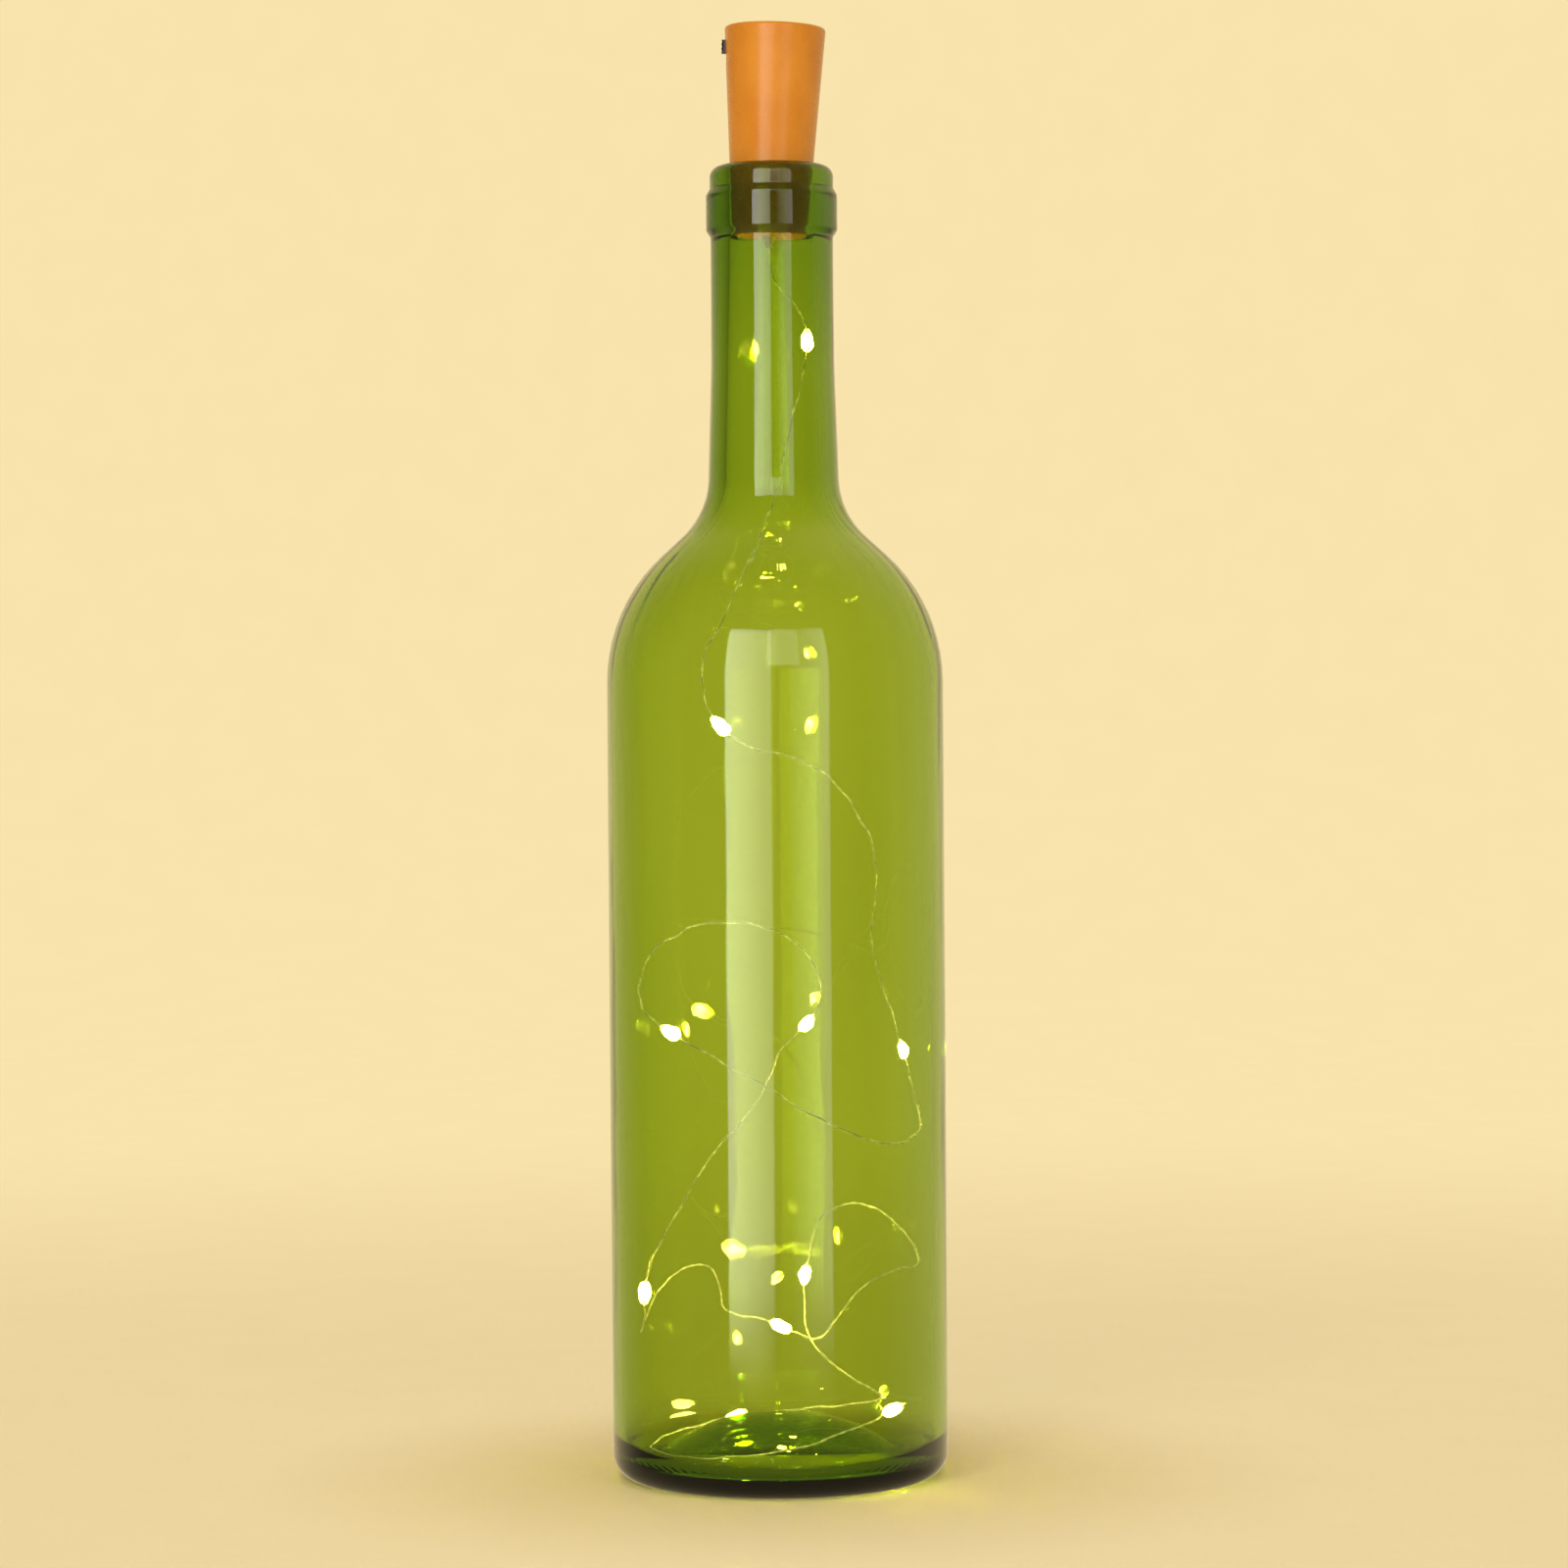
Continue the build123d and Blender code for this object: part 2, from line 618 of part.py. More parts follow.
# Positive clip over the board's upper edge, under the cap's plate
with BuildPart() as side_contact:
    with BuildSketch(side(board_inner_x)):
        with Locations((clip_y, CAP_THICKNESS)):
            Rectangle(CLIP_WIDTH, CLIP_THICKNESS, align=(Align.CENTER, Align.MIN))
    extrude(amount=BOARD_THICKNESS)
    with BuildSketch(side(board_outer_x)):
        with Locations((clip_y, CAP_THICKNESS)):
            Rectangle(CLIP_WIDTH, CLIP_THICKNESS + CLIP_LENGTH, align=(Align.CENTER, Align.MIN))
    extrude(amount=CLIP_THICKNESS)

# Slide switch: wafer on the board, folded can over it, terminals beside it
with BuildPart() as switch_wafer:
    with BuildSketch(side(board_outer_x)):
        with Locations((0, switch_middle_depth)):
            Rectangle(SWITCH_WIDTH, switch_length)
    extrude(amount=WAFER_THICKNESS)

with BuildPart() as switch_can:
    with BuildSketch(side(wafer_x)):
        with Locations((0, switch_middle_depth)):
            Rectangle(SWITCH_WIDTH, switch_length)
    extrude(amount=SWITCH_CAN_DEPTH)
    with BuildSketch(side(wafer_x)):
        with Locations((0, switch_middle_depth)):
            Rectangle(SWITCH_WIDTH - 2 * SWITCH_CAN_WALL, switch_length - 2 * SWITCH_CAN_WALL)
    extrude(amount=SWITCH_CAN_DEPTH - SWITCH_CAN_WALL, mode=Mode.SUBTRACT)
    with BuildSketch(side(wafer_x)):
        with Locations((0, switch_middle_depth)):
            Rectangle(KNOB_WIDTH + 2 * WINDOW_CLEARANCE, KNOB_HEIGHT + SWITCH_TRAVEL + 2 * WINDOW_CLEARANCE)
    extrude(amount=SWITCH_CAN_DEPTH, mode=Mode.SUBTRACT)

with BuildPart() as switch_terminals:
    with BuildSketch(side(board_outer_x)):
        with Locations((SWITCH_WIDTH / 2 + TERMINAL_LENGTH / 2, switch_middle_depth)):
            with GridLocations(0, TERMINAL_PITCH, 1, TERMINAL_COUNT):
                Rectangle(TERMINAL_LENGTH, TERMINAL_WIDTH)
    extrude(amount=TERMINAL_THICKNESS)

# Knob with its slider behind the can's front, and the wiper that it pushes
with BuildPart() as switch_knob:
    with BuildSketch(side(slider_back_x)):
        with Locations((0, knob_middle_depth)):
            Rectangle(SWITCH_WIDTH - 2 * (SWITCH_CAN_WALL + SLIDER_CLEARANCE), slider_length)
    extrude(amount=slider_back_x - slider_front_x)
    with BuildSketch(side(slider_front_x)):
        with Locations((0, knob_middle_depth)):
            Rectangle(KNOB_WIDTH, KNOB_HEIGHT)
    extrude(amount=slider_front_x - knob_face_x)
    knob_face = faces().filter_by(Plane(CORK_TOP.origin, z_dir=CORK_TOP.x_dir)).sort_by(Axis.X)[0]
    fillet(knob_face.edges(), KNOB_EDGE_RADIUS)

with BuildPart() as switch_wiper:
    with BuildSketch(side(wafer_x - WIPER_CLEARANCE)):
        with Locations((0, knob_middle_depth)):
            Rectangle(WIPER_WIDTH, slider_length - WIPER_SHORTFALL)
    extrude(amount=WIPER_THICKNESS)

with BuildPart() as resistor:
    with BuildSketch(side(board_outer_x)):
        with Locations((0, switch_end_depth + RESISTOR_DROP)):
            Rectangle(RESISTOR_WIDTH, RESISTOR_LENGTH)
    extrude(amount=RESISTOR_HEIGHT)

with BuildPart() as solder_joints:
    with BuildSketch(side(board_outer_x)):
        with Locations((-SOLDER_SPACING / 2, solder_depth), (SOLDER_SPACING / 2, solder_depth)):
            Rectangle(SOLDER_WIDTH, SOLDER_LENGTH)
    extrude(amount=SOLDER_HEIGHT)
    outer_faces = faces().filter_by(Plane(CORK_TOP.origin, z_dir=CORK_TOP.x_dir)).group_by(Axis.X)[0]
    fillet(outer_faces.edges(), SOLDER_EDGE_RADIUS)

# Leads from the board to the seal
lead_x = board_outer_x - LEAD_DIAMETER / 2
lead_top_depth = solder_depth + SOLDER_LENGTH / 2
lead_straight = LEAD_STRAIGHT_SHARE * (seal_top_depth - lead_top_depth)
with BuildPart() as lead_wires:
    for hand in (-1, 1):
        start = CORK_TOP.from_local_coords((lead_x, hand * SOLDER_SPACING / 2, -lead_top_depth))
        lead_points = [
            start,
            start - CORK_TOP.z_dir * lead_straight,
            CORK_TOP.from_local_coords((0, hand * LEAD_SPACING / 2, -seal_top_depth + lead_straight)),
            CORK_TOP.from_local_coords((0, hand * LEAD_SPACING / 2, -seal_top_depth)),
        ]
        with BuildLine() as lead_path:
            FilletPolyline(*lead_points, radius=bend_radii(lead_points))
        with BuildSketch(Plane(start, z_dir=-CORK_TOP.z_dir)):
            Circle(LEAD_DIAMETER / 2)
        sweep(path=lead_path.line)

# Seal that fills the hole in the shell's floor and tapers down round the wire
with BuildPart() as wire_seal:
    with BuildSketch(section()):
        with BuildLine():
            Polyline(
                (0, -seal_top_depth),
                (SEAL_FLANGE_DIAMETER / 2, -seal_top_depth),
                (SEAL_FLANGE_DIAMETER / 2, -floor_depth),
                (SEAL_DIAMETER / 2, -floor_depth),
                (SEAL_DIAMETER / 2, -CORK_LENGTH),
                (NIPPLE_DIAMETER / 2, -CORK_LENGTH),
                (NIPPLE_TIP_DIAMETER / 2, -exit_depth),
                (0, -exit_depth),
                close=True,
            )
        make_face()
    revolve(axis=CORK_AXIS)


# The positive plate's outline: a disc over the cells with an arm to the board's clip
with BuildSketch() as plate_outline:
    with Locations((well_offset, 0)):
        Circle(PLATE_DIAMETER / 2)
    with Locations((board_outer_x, clip_y)):
        Rectangle(well_offset - board_outer_x, CLIP_WIDTH, align=(Align.MIN, Align.CENTER))

# Cap, set flush in the stopper's top, with its plate let into the underside
with BuildPart() as cork_cap:
    with BuildSketch(level(CAP_THICKNESS)):
        Circle(cap_radius)
    extrude(amount=CAP_THICKNESS)
    fillet(faces().sort_by(Axis.Z)[-1].edges(), CAP_EDGE_RADIUS)
    with BuildSketch(level(CAP_THICKNESS)):
        add(plate_outline.sketch)
    extrude(amount=PLATE_THICKNESS, mode=Mode.SUBTRACT)
    with BuildSketch(level(CAP_THICKNESS)):
        with Locations((boss_x, boss_y)):
            Circle(SCREW_DIAMETER / 2 + SCREW_CLEARANCE)
    extrude(amount=CAP_THICKNESS, mode=Mode.SUBTRACT)
    with BuildSketch(level(SCREW_HEAD_HEIGHT)):
        with Locations((boss_x, boss_y)):
            Circle(SCREW_HEAD_DIAMETER / 2 + SCREW_CLEARANCE)
    extrude(amount=SCREW_HEAD_HEIGHT, mode=Mode.SUBTRACT)

with BuildPart() as cap_contact:
    with BuildSketch(level(CAP_THICKNESS)):
        add(plate_outline.sketch)
    extrude(amount=PLATE_THICKNESS)

with BuildPart() as cap_screw:
    with BuildSketch(level(SCREW_HEAD_HEIGHT)):
        with Locations((boss_x, boss_y)):
            Circle(SCREW_HEAD_DIAMETER / 2)
    extrude(amount=SCREW_HEAD_HEIGHT)
    with BuildSketch(level(SCREW_HEAD_HEIGHT)):
        with Locations((boss_x, boss_y)):
            Circle(SCREW_DIAMETER / 2)
    extrude(amount=SCREW_HEAD_HEIGHT - SCREW_LENGTH)
    with BuildSketch(level(0)):
        with Locations((boss_x, boss_y)):
            Rectangle(SCREW_SLOT_LENGTH, SCREW_SLOT_WIDTH)
            Rectangle(SCREW_SLOT_WIDTH, SCREW_SLOT_LENGTH)
    extrude(amount=-SCREW_SLOT_DEPTH, mode=Mode.SUBTRACT)

# The string's three stretches of wire
with BuildPart() as neck_wire:
    with BuildLine() as neck_path:
        FilletPolyline(*neck_points, radius=bend_radii(neck_points))
    with BuildSketch(Plane(neck_points[0], z_dir=neck_points[1] - neck_points[0])):
        Circle(WIRE_DIAMETER / 2)
    sweep(path=neck_path.line)

with BuildPart() as slack_wire:
    with BuildLine() as slack_path:
        FilletPolyline(*slack_points, radius=bend_radii(slack_points))
    with BuildSketch(Plane(slack_points[0], z_dir=slack_points[1] - slack_points[0])):
        Circle(WIRE_DIAMETER / 2)
    sweep(path=slack_path.line)

with BuildPart() as string_wire:
    with BuildLine() as string_path:
        FilletPolyline(*string_points, radius=bend_radii(string_points))
    with BuildSketch(Plane(string_points[0], z_dir=string_points[1] - string_points[0])):
        Circle(WIRE_DIAMETER / 2)
    sweep(path=string_path.line)

# Half of a drop's outline, closed along the wire, which runs up the sketch
drop_end_radius = WIRE_DIAMETER / 2 + DROP_COLLAR
with BuildSketch() as drop_profile:
    with BuildLine():
        ThreePointArc(
            (drop_end_radius, -DROP_LENGTH / 2),
            (DROP_DIAMETER / 2, 0),
            (drop_end_radius, DROP_LENGTH / 2),
        )
        Polyline(
            (drop_end_radius, DROP_LENGTH / 2),
            (0, DROP_LENGTH / 2),
            (0, -DROP_LENGTH / 2),
            (drop_end_radius, -DROP_LENGTH / 2),
        )
    make_face()

# Light chips on the wire, and the resin drops cast round them
with BuildPart() as neck_led_chip:
    for plane in neck_drops:
        with BuildSketch(chip_sketch_plane(plane)):
            Rectangle(CHIP_LENGTH, CHIP_WIDTH)
        extrude(amount=CHIP_THICKNESS)

with BuildPart() as string_led_chips:
    for plane in string_drops:
        with BuildSketch(chip_sketch_plane(plane)):
            Rectangle(CHIP_LENGTH, CHIP_WIDTH)
        extrude(amount=CHIP_THICKNESS)

with BuildPart() as neck_led_drop:
    for plane in neck_drops:
        with BuildSketch(plane):
            add(drop_profile.sketch)
        revolve(axis=Axis(plane.origin, plane.y_dir))
    add(neck_wire.part, mode=Mode.SUBTRACT)
    add(neck_led_chip.part, mode=Mode.SUBTRACT)

with BuildPart() as string_led_drops:
    for plane in string_drops:
        with BuildSketch(plane):
            add(drop_profile.sketch)
        revolve(axis=Axis(plane.origin, plane.y_dir))
    add(string_wire.part, mode=Mode.SUBTRACT)
    add(string_led_chips.part, mode=Mode.SUBTRACT)

report_route("neck wire", neck_points, neck_wire.part, neck_path.wire().length)
report_route("slack wire", slack_points, slack_wire.part, slack_path.wire().length)
report_route("string wire", string_points, string_wire.part, string_path.wire().length)
print(f"stopper {2 * cork_radius(0):.2f} to {2 * cork_radius(CORK_LENGTH):.2f} across, seat {seat_depth:.2f}")
print(f"top of the stopper at {CORK_TOP.origin.Z:.2f}, wire leaves it at {wire_exit}")

pieces = {
    "glass_bottle": glass_bottle,
    "cork_shell": cork_shell,
    "battery_holder": battery_holder,
    "cell_cans": cell_cans,
    "cell_gaskets": cell_gaskets,
    "cell_caps": cell_caps,
    "spring_contact": spring_contact,
    "circuit_board": circuit_board,
    "side_contact": side_contact,
    "switch_wafer": switch_wafer,
    "switch_can": switch_can,
    "switch_terminals": switch_terminals,
    "switch_knob": switch_knob,
    "switch_wiper": switch_wiper,
    "resistor": resistor,
    "solder_joints": solder_joints,
    "lead_wires": lead_wires,
    "wire_seal": wire_seal,
    "cork_cap": cork_cap,
    "cap_contact": cap_contact,
    "cap_screw": cap_screw,
    "neck_wire": neck_wire,
    "neck_led_chip": neck_led_chip,
    "neck_led_drop": neck_led_drop,
    "slack_wire": slack_wire,
    "string_wire": string_wire,
    "string_led_chips": string_led_chips,
    "string_led_drops": string_led_drops,
}
for name, piece in pieces.items():
    piece.part.label = name
    export_step(piece.part, f"parts/{name}.step")
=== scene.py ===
"""Looks of the cork bottle light: a green wine bottle, its battery stopper and the lit string in it.

Metres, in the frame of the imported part: the bottle stands on z = 0 and the stopper's switch faces -X.
"""

from math import asin, atan2, ceil, cos, exp, pi, radians, sin, tan
from random import Random

import bmesh
import bpy
from mathutils import Matrix, Vector, noise


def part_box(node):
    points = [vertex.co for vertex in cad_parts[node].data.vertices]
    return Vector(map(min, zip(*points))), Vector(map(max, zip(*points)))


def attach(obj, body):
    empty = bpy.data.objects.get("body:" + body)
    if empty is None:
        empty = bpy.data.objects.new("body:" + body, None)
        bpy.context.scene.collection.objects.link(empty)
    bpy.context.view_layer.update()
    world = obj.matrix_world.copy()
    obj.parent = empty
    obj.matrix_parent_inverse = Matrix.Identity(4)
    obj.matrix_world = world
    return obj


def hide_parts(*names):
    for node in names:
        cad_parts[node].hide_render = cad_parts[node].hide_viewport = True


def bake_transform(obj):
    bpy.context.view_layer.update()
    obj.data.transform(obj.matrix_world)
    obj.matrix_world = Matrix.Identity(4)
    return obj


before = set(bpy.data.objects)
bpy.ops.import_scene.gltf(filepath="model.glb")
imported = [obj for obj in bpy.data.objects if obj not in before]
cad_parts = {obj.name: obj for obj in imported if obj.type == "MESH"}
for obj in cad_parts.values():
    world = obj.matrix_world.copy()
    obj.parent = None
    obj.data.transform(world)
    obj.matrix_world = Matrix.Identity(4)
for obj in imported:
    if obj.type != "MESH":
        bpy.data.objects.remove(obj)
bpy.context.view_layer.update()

# Camera, from the photograph: 1600 pixels square
IMAGE_SIDE = 1600
AXIS_COLUMN = 791.6  # where the bottle's axis crosses the middle row
CAMERA_DISTANCE = 1.070
CAMERA_HEIGHT = 0.17255
CAMERA_TILT = radians(0.951)
CAMERA_ROLL = radians(0.42)
SENSOR_WIDTH = 36.0
LENS = 110.03

# Bottle
bottle_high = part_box("glass_bottle")[1]
BOTTLE_HEIGHT = bottle_high.z
BODY_RADIUS = bottle_high.x
BODY_WALL = 0.0026
BASE_THICKNESS = 0.0045
PUNT_DEPTH = 0.010
STANDING_RING_INNER_RADIUS = 0.027
HEEL_RADIUS = 0.006
INNER_HEEL_RADIUS = 0.006
TROUGH_FLAT = 0.0006
SHOULDER_ANGLE = radians(47.5)
SHOULDER_RADIUS = 0.038
NECK_ROOT_DROP = 0.0772
NECK_ROOT_HALF_WIDTH = 0.0147
NECK_ROOT_RADIUS = 0.018
NECK_SLIM_DROP = 0.045
NECK_HALF_WIDTH = 0.01365
NECK_WALL = 0.0036
NECK_EASE_RADIUS = 0.150
RING_HALF_WIDTH = 0.01465
RING_HEIGHT = 0.0108
FINISH_SLOPE_HEIGHT = 0.0015
LIP_HALF_WIDTH = 0.0138
LIP_HEIGHT = 0.0051
LIP_RADIUS = 0.0026
FINISH_EDGE_RADIUS = 0.0012
BORE_RADIUS = 0.0094
MOUTH_EDGE_RADIUS = 0.0008
BORE_LENGTH = 0.020
BORE_EASE_RADIUS = 0.060
BOTTLE_SEGMENTS = 320
ARC_STEP = radians(5)
OUTLINE_SPACING = 0.004

# Unevenness of the glass: a wave is its changes round the bottle, its changes a metre up and where it starts
INNER_WAVE = 0.00022
OUTER_WAVE = 0.00002
NARROW_RADIUS = 0.020  # the inside where it is narrower than this, as in the neck, is less uneven
NARROW_SHARE = 0.5
BROAD_WAVE = (1.7, 17, 0)
STREAK = (6, 5, 9)
STREAK_SHARE = 0.3
RIPPLE = (11, 90, 3)
RIPPLE_SHARE = 0.1
ROOT_RIPPLE_SHARE = 0.3  # what the ripple gains at the neck's root
ROOT_RIPPLE_LOW = 0.195
ROOT_RIPPLE_HIGH = 0.210
ROOT_RIPPLE_FADE = 0.015
SMOOTH_FROM_MOUTH = 0.025  # no waves nearer the mouth than this
WAVY_FROM_MOUTH = 0.045
SMOOTH_HEIGHT = 0.010  # no waves lower than this
WAVY_HEIGHT = 0.030
SEAM_HEIGHT = 0.00006
SEAM_HALF_ANGLE = radians(0.6)
KNURL_COUNT = 72
KNURL_DEPTH = 0.00035
KNURL_INSET = 0.0008  # from the standing ring's inner edge
KNURL_REACH = 0.0014  # past the start of the heel's round
KNURL_TOP = 0.001

# Stopper
STOPPER_LEAN = radians(2.0)
SEAT_HEIGHT = BOTTLE_HEIGHT - MOUTH_EDGE_RADIUS
SEAT_DEPTH = 0.03156
KNOB_FACE = -0.01184
KNOB_SLIDER_FACE = -0.00861
KNOB_SLIDER_BACK = -0.00726
KNOB_MIDDLE_DEPTH = 0.00455
KNOB_HEIGHT = 0.0029
KNOB_WIDTH = 0.0024
KNOB_SLIDER_OVERHANG = 0.0002
KNOB_RIDGES = 3
KNOB_RIDGE_DEPTH = 0.0003
KNOB_RIDGE_STEPS = 8
KNOB_BEVEL = 0.00012
KNOB_BEVEL_SEGMENTS = 2
KNOB_BEVEL_ANGLE = radians(50)
KNOB_SHARP_ANGLE = radians(40)

# String
WIRE_DIAMETER = 0.0005
STRAND_RADIUS = WIRE_DIAMETER / 4
STRAND_SIDES = 8
TWIST_PITCH = 0.0045
CRINKLE = 0.0005  # kinks left from when the wire was wound up
CRINKLE_SPACING = 0.006
CRINKLE_SEED = 3
ROUTE_ORDER = 3
ROUTE_RESOLUTION = 36
DROP_LENGTH = 0.0050
DROP_RADIUS = 0.0013
DROP_END_RADIUS = 0.00037
DROP_FULLNESS = 0.62  # the power that rounds a drop off towards its ends
DROP_LENGTHS = (0.92, 1.06)  # what a drop's length, flatness and skew lie between
DROP_FLATNESS = (0.86, 0.98)
DROP_SKEW = (-0.45, 0.45)
DROP_SEED = 5
DROP_ROWS = 18
DROP_SIDES = 24
LUMP_SIZE = 0.4  # of a drop's radius
LUMP_SCALE = 1.5
LUMP_ALONG = 2
LUMP_APART = 3  # from one run of the route to the next
GLOW_REACH = 0.27  # along a drop, of half its length
DROP_END_GLOW = 0.6
DROP_MIDDLE_GLOW = 1000.0
CHIP_GLOW = 200.0
ROUTE = [
    (-0.00061, 0.00000, 0.27427),
    (-0.00076, 0.00000, 0.27007),
    (0.00139, -0.00060, 0.26507),
    (0.00499, -0.00120, 0.26127),
    (0.00749, -0.00150, 0.25677),
    (0.00779, -0.00130, 0.25037),
    (0.00480, 0.00080, 0.23783),
    (0.00220, 0.00220, 0.22686),
    (-0.00080, 0.00240, 0.21589),
    (-0.00500, 0.00080, 0.20492),
    (-0.01040, -0.00260, 0.19394),
    (-0.01620, -0.00740, 0.18219),
    (-0.01560, -0.00700, 0.17200),
    (-0.00860, -0.00490, 0.16400),
    (-0.00200, -0.00240, 0.16220),
    (0.00450, 0.00200, 0.16060),
    (0.01100, 0.00740, 0.15740),
    (0.01750, 0.01350, 0.15060),
    (0.02250, 0.01900, 0.14000),
    (0.02320, 0.02320, 0.12900),
    (0.02080, 0.02520, 0.11800),
    (0.02380, 0.02220, 0.10850),
    (0.02810, 0.01580, 0.09930),
    (0.03070, 0.00920, 0.08970),
    (0.03220, 0.00000, 0.08150),
    (0.03050, -0.01150, 0.07650),
    (0.02350, -0.02200, 0.07550),
    (0.01240, -0.02900, 0.08050),
    (-0.00200, -0.03050, 0.08900),
    (-0.01240, -0.02820, 0.09530),
    (-0.01910, -0.02430, 0.09880),
    (-0.02680, -0.01770, 0.10320),
    (-0.03100, -0.00850, 0.10750),
    (-0.03120, 0.00200, 0.11280),
    (-0.02750, 0.01150, 0.11860),
    (-0.01900, 0.01950, 0.12260),
    (-0.00800, 0.02430, 0.12330),
    (0.00250, 0.02450, 0.11980),
    (0.00980, 0.02180, 0.11300),
    (0.01060, 0.01820, 0.10340),
    (0.00260, 0.01380, 0.09720),
    (-0.00120, 0.00850, 0.09050),
    (-0.00450, 0.00200, 0.08400),
    (-0.01050, -0.00380, 0.07780),
    (-0.01600, -0.01050, 0.07150),
    (-0.02060, -0.01720, 0.06300),
    (-0.02500, -0.01950, 0.05500),
    (-0.02890, -0.01340, 0.04830),
    (-0.02930, -0.01460, 0.03760),
    (-0.03140, -0.00650, 0.03240),
    (-0.03150, 0.00450, 0.03460),
    (-0.02820, 0.01400, 0.04020),
    (-0.02200, 0.01960, 0.04540),
    (-0.01580, 0.01720, 0.04580),
    (-0.01340, 0.01060, 0.04120),
    (-0.01260, 0.00320, 0.03720),
    (-0.00940, -0.00260, 0.03620),
    (-0.00440, -0.00640, 0.03680),
    (0.00500, -0.00970, 0.03240),
    (0.00900, -0.01500, 0.03260),
    (0.01280, -0.02050, 0.03850),
    (0.01850, -0.02280, 0.04600),
    (0.02550, -0.01900, 0.04900),
    (0.03050, -0.00950, 0.04800),
    (0.03150, 0.00200, 0.05100),
    (0.02700, 0.01350, 0.05600),
    (0.01800, 0.01880, 0.05960),
    (0.00960, 0.01740, 0.05720),
    (0.00650, 0.01200, 0.04880),
    (0.00450, 0.00800, 0.03880),
    (0.00620, 0.00500, 0.02980),
    (0.01280, 0.00540, 0.02260),
    (0.02100, 0.01050, 0.01780),
    (0.02520, 0.01850, 0.01460),
    (0.01900, 0.02560, 0.01240),
    (0.00800, 0.02740, 0.01140),
    (-0.00460, 0.02400, 0.01100),
    (-0.01520, 0.02080, 0.00940),
    (-0.02450, 0.01500, 0.00760),
    (-0.02900, 0.00500, 0.00680),
    (-0.02920, -0.00700, 0.00640),
    (-0.02500, -0.01750, 0.00640),
    (-0.01700, -0.02550, 0.00700),
    (-0.00600, -0.03000, 0.00920),
    (0.00500, -0.03080, 0.01140),
    (0.01500, -0.02820, 0.01400),
    (0.02150, -0.02420, 0.01690),
    (0.02680, -0.01970, 0.01910),
]
NECK_DROP_RUN = 4
STRING_DROP_RUNS = [12, 22, 30, 39, 47, 57, 68, 76, 86]

# Glass
GLASS_IOR = 1.5
GLASS_TINT = (0.708, 0.812, 0.010)
GLASS_DENSITY = 655.0
RESIN_IOR = 1.5

# Grain of the finishes
NOISE_LOW = 0.3  # the range that a noise mostly keeps to
NOISE_HIGH = 0.7
FINE_GRAIN = 6  # how much finer the gloss and relief are than the colour

# Paper
PAPER = (0.957, 0.775, 0.42)
PAPER_FIBRE = 0.985  # how light its darker fibres are beside it
FLOOR_HALF_WIDTH = 3.0
FLOOR_FRONT = -3.0
SWEEP_START = 1.8
SWEEP_RADIUS = 0.5
SWEEP_HEIGHT = 2.0
PAPER_GLOW = 0.6  # the share of even cream in the paper round the bottle
SHADOW_START = 0.030  # from the bottle's foot: the paper nearer than this shows only the lamps' light
SHADOW_END = 0.130
GLOW_START = 0.2
GLOW_FULL = 0.9

# Room
AMBIENT = (0.48, 0.46, 0.43)
BRIGHT_SIDE = (0.35, 1.0, 0.0)
ROOM_SHARE = 0.25  # how bright the room in front is beside the paper behind, where the glass mirrors it
DIM_TURN = -0.2  # how far towards the bright side a direction is where the room is dim
BRIGHT_TURN = 0.8  # and where it is as bright as the paper
LOW_SHARE = 0.4  # how bright the room is below
LOW_SLOPE = -0.5  # how steeply down a direction goes that is wholly below
LEVEL_SLOPE = -0.1  # and one that isn't below at all

# Lamps: angles round from the camera's side, and the strength at the left and the right edge
LAMP_DISTANCE = 3.0
LAMP_LOW = -0.42
LAMP_HIGH = 2.3
LAMP_FEATHER = 0.05  # how much of a lamp's width it fades over
LAMP_COLOUR = (1.0, 0.97, 0.92)
LAMP_POWER = 4.0  # watts a square metre: a strength of 1 then looks white
LEFT_LAMP = (radians(-34.8), radians(-1.8))
LEFT_STRENGTH = (4.6, 1.7)
RIGHT_LAMP = (radians(9.0), radians(37.5))
RIGHT_STRENGTH = (0.1, 2.0)
MIDDLE_LAMP = (radians(-6.0), radians(17.0))
MIDDLE_STRENGTH = (1.9, 1.0)
GAP_TOP = 0.71  # where the middle lamp starts
SCREEN_FRONT = -2.4  # where the screen before the lamps stands


def shader(name):
    """A new material with its node tree's nodes, links and main shader."""
    material = bpy.data.materials.new(name)
    material.use_nodes = True
    tree = material.node_tree
    return material, tree.nodes, tree.links, tree.nodes["Principled BSDF"]


def grain(nodes, links, scale, detail=4.0, stretch=(1.0, 1.0, 1.0)):
    """A noise over the object's own coordinates."""
    place = nodes.new("ShaderNodeTexCoord")
    mapping = nodes.new("ShaderNodeMapping")
    mapping.inputs["Scale"].default_value = stretch
    texture = nodes.new("ShaderNodeTexNoise")
    texture.inputs["Scale"].default_value = scale
    texture.inputs["Detail"].default_value = detail
    links.new(place.outputs["Object"], mapping.inputs["Vector"])
    links.new(mapping.outputs["Vector"], texture.inputs["Vector"])
    return texture.outputs["Fac"]


def calc(nodes, links, operation, *values):
    """One step of arithmetic on sockets and plain numbers."""
    node = nodes.new("ShaderNodeMath")
    node.operation = operation
    for socket, value in zip(node.inputs, values):
        if isinstance(value, bpy.types.NodeSocket):
            links.new(value, socket)
        else:
            socket.default_value = value
    return node.outputs["Value"]


def ramp(nodes, links, value, start, end, low, high, shape="LINEAR"):
    """A value brought from one range to another."""
    ranged = nodes.new("ShaderNodeMapRange")
    ranged.interpolation_type = shape
    for name, limit in (("From Min", start), ("From Max", end), ("To Min", low), ("To Max", high)):
        ranged.inputs[name].default_value = limit
    links.new(value, ranged.inputs["Value"])
    return ranged.outputs["Result"]


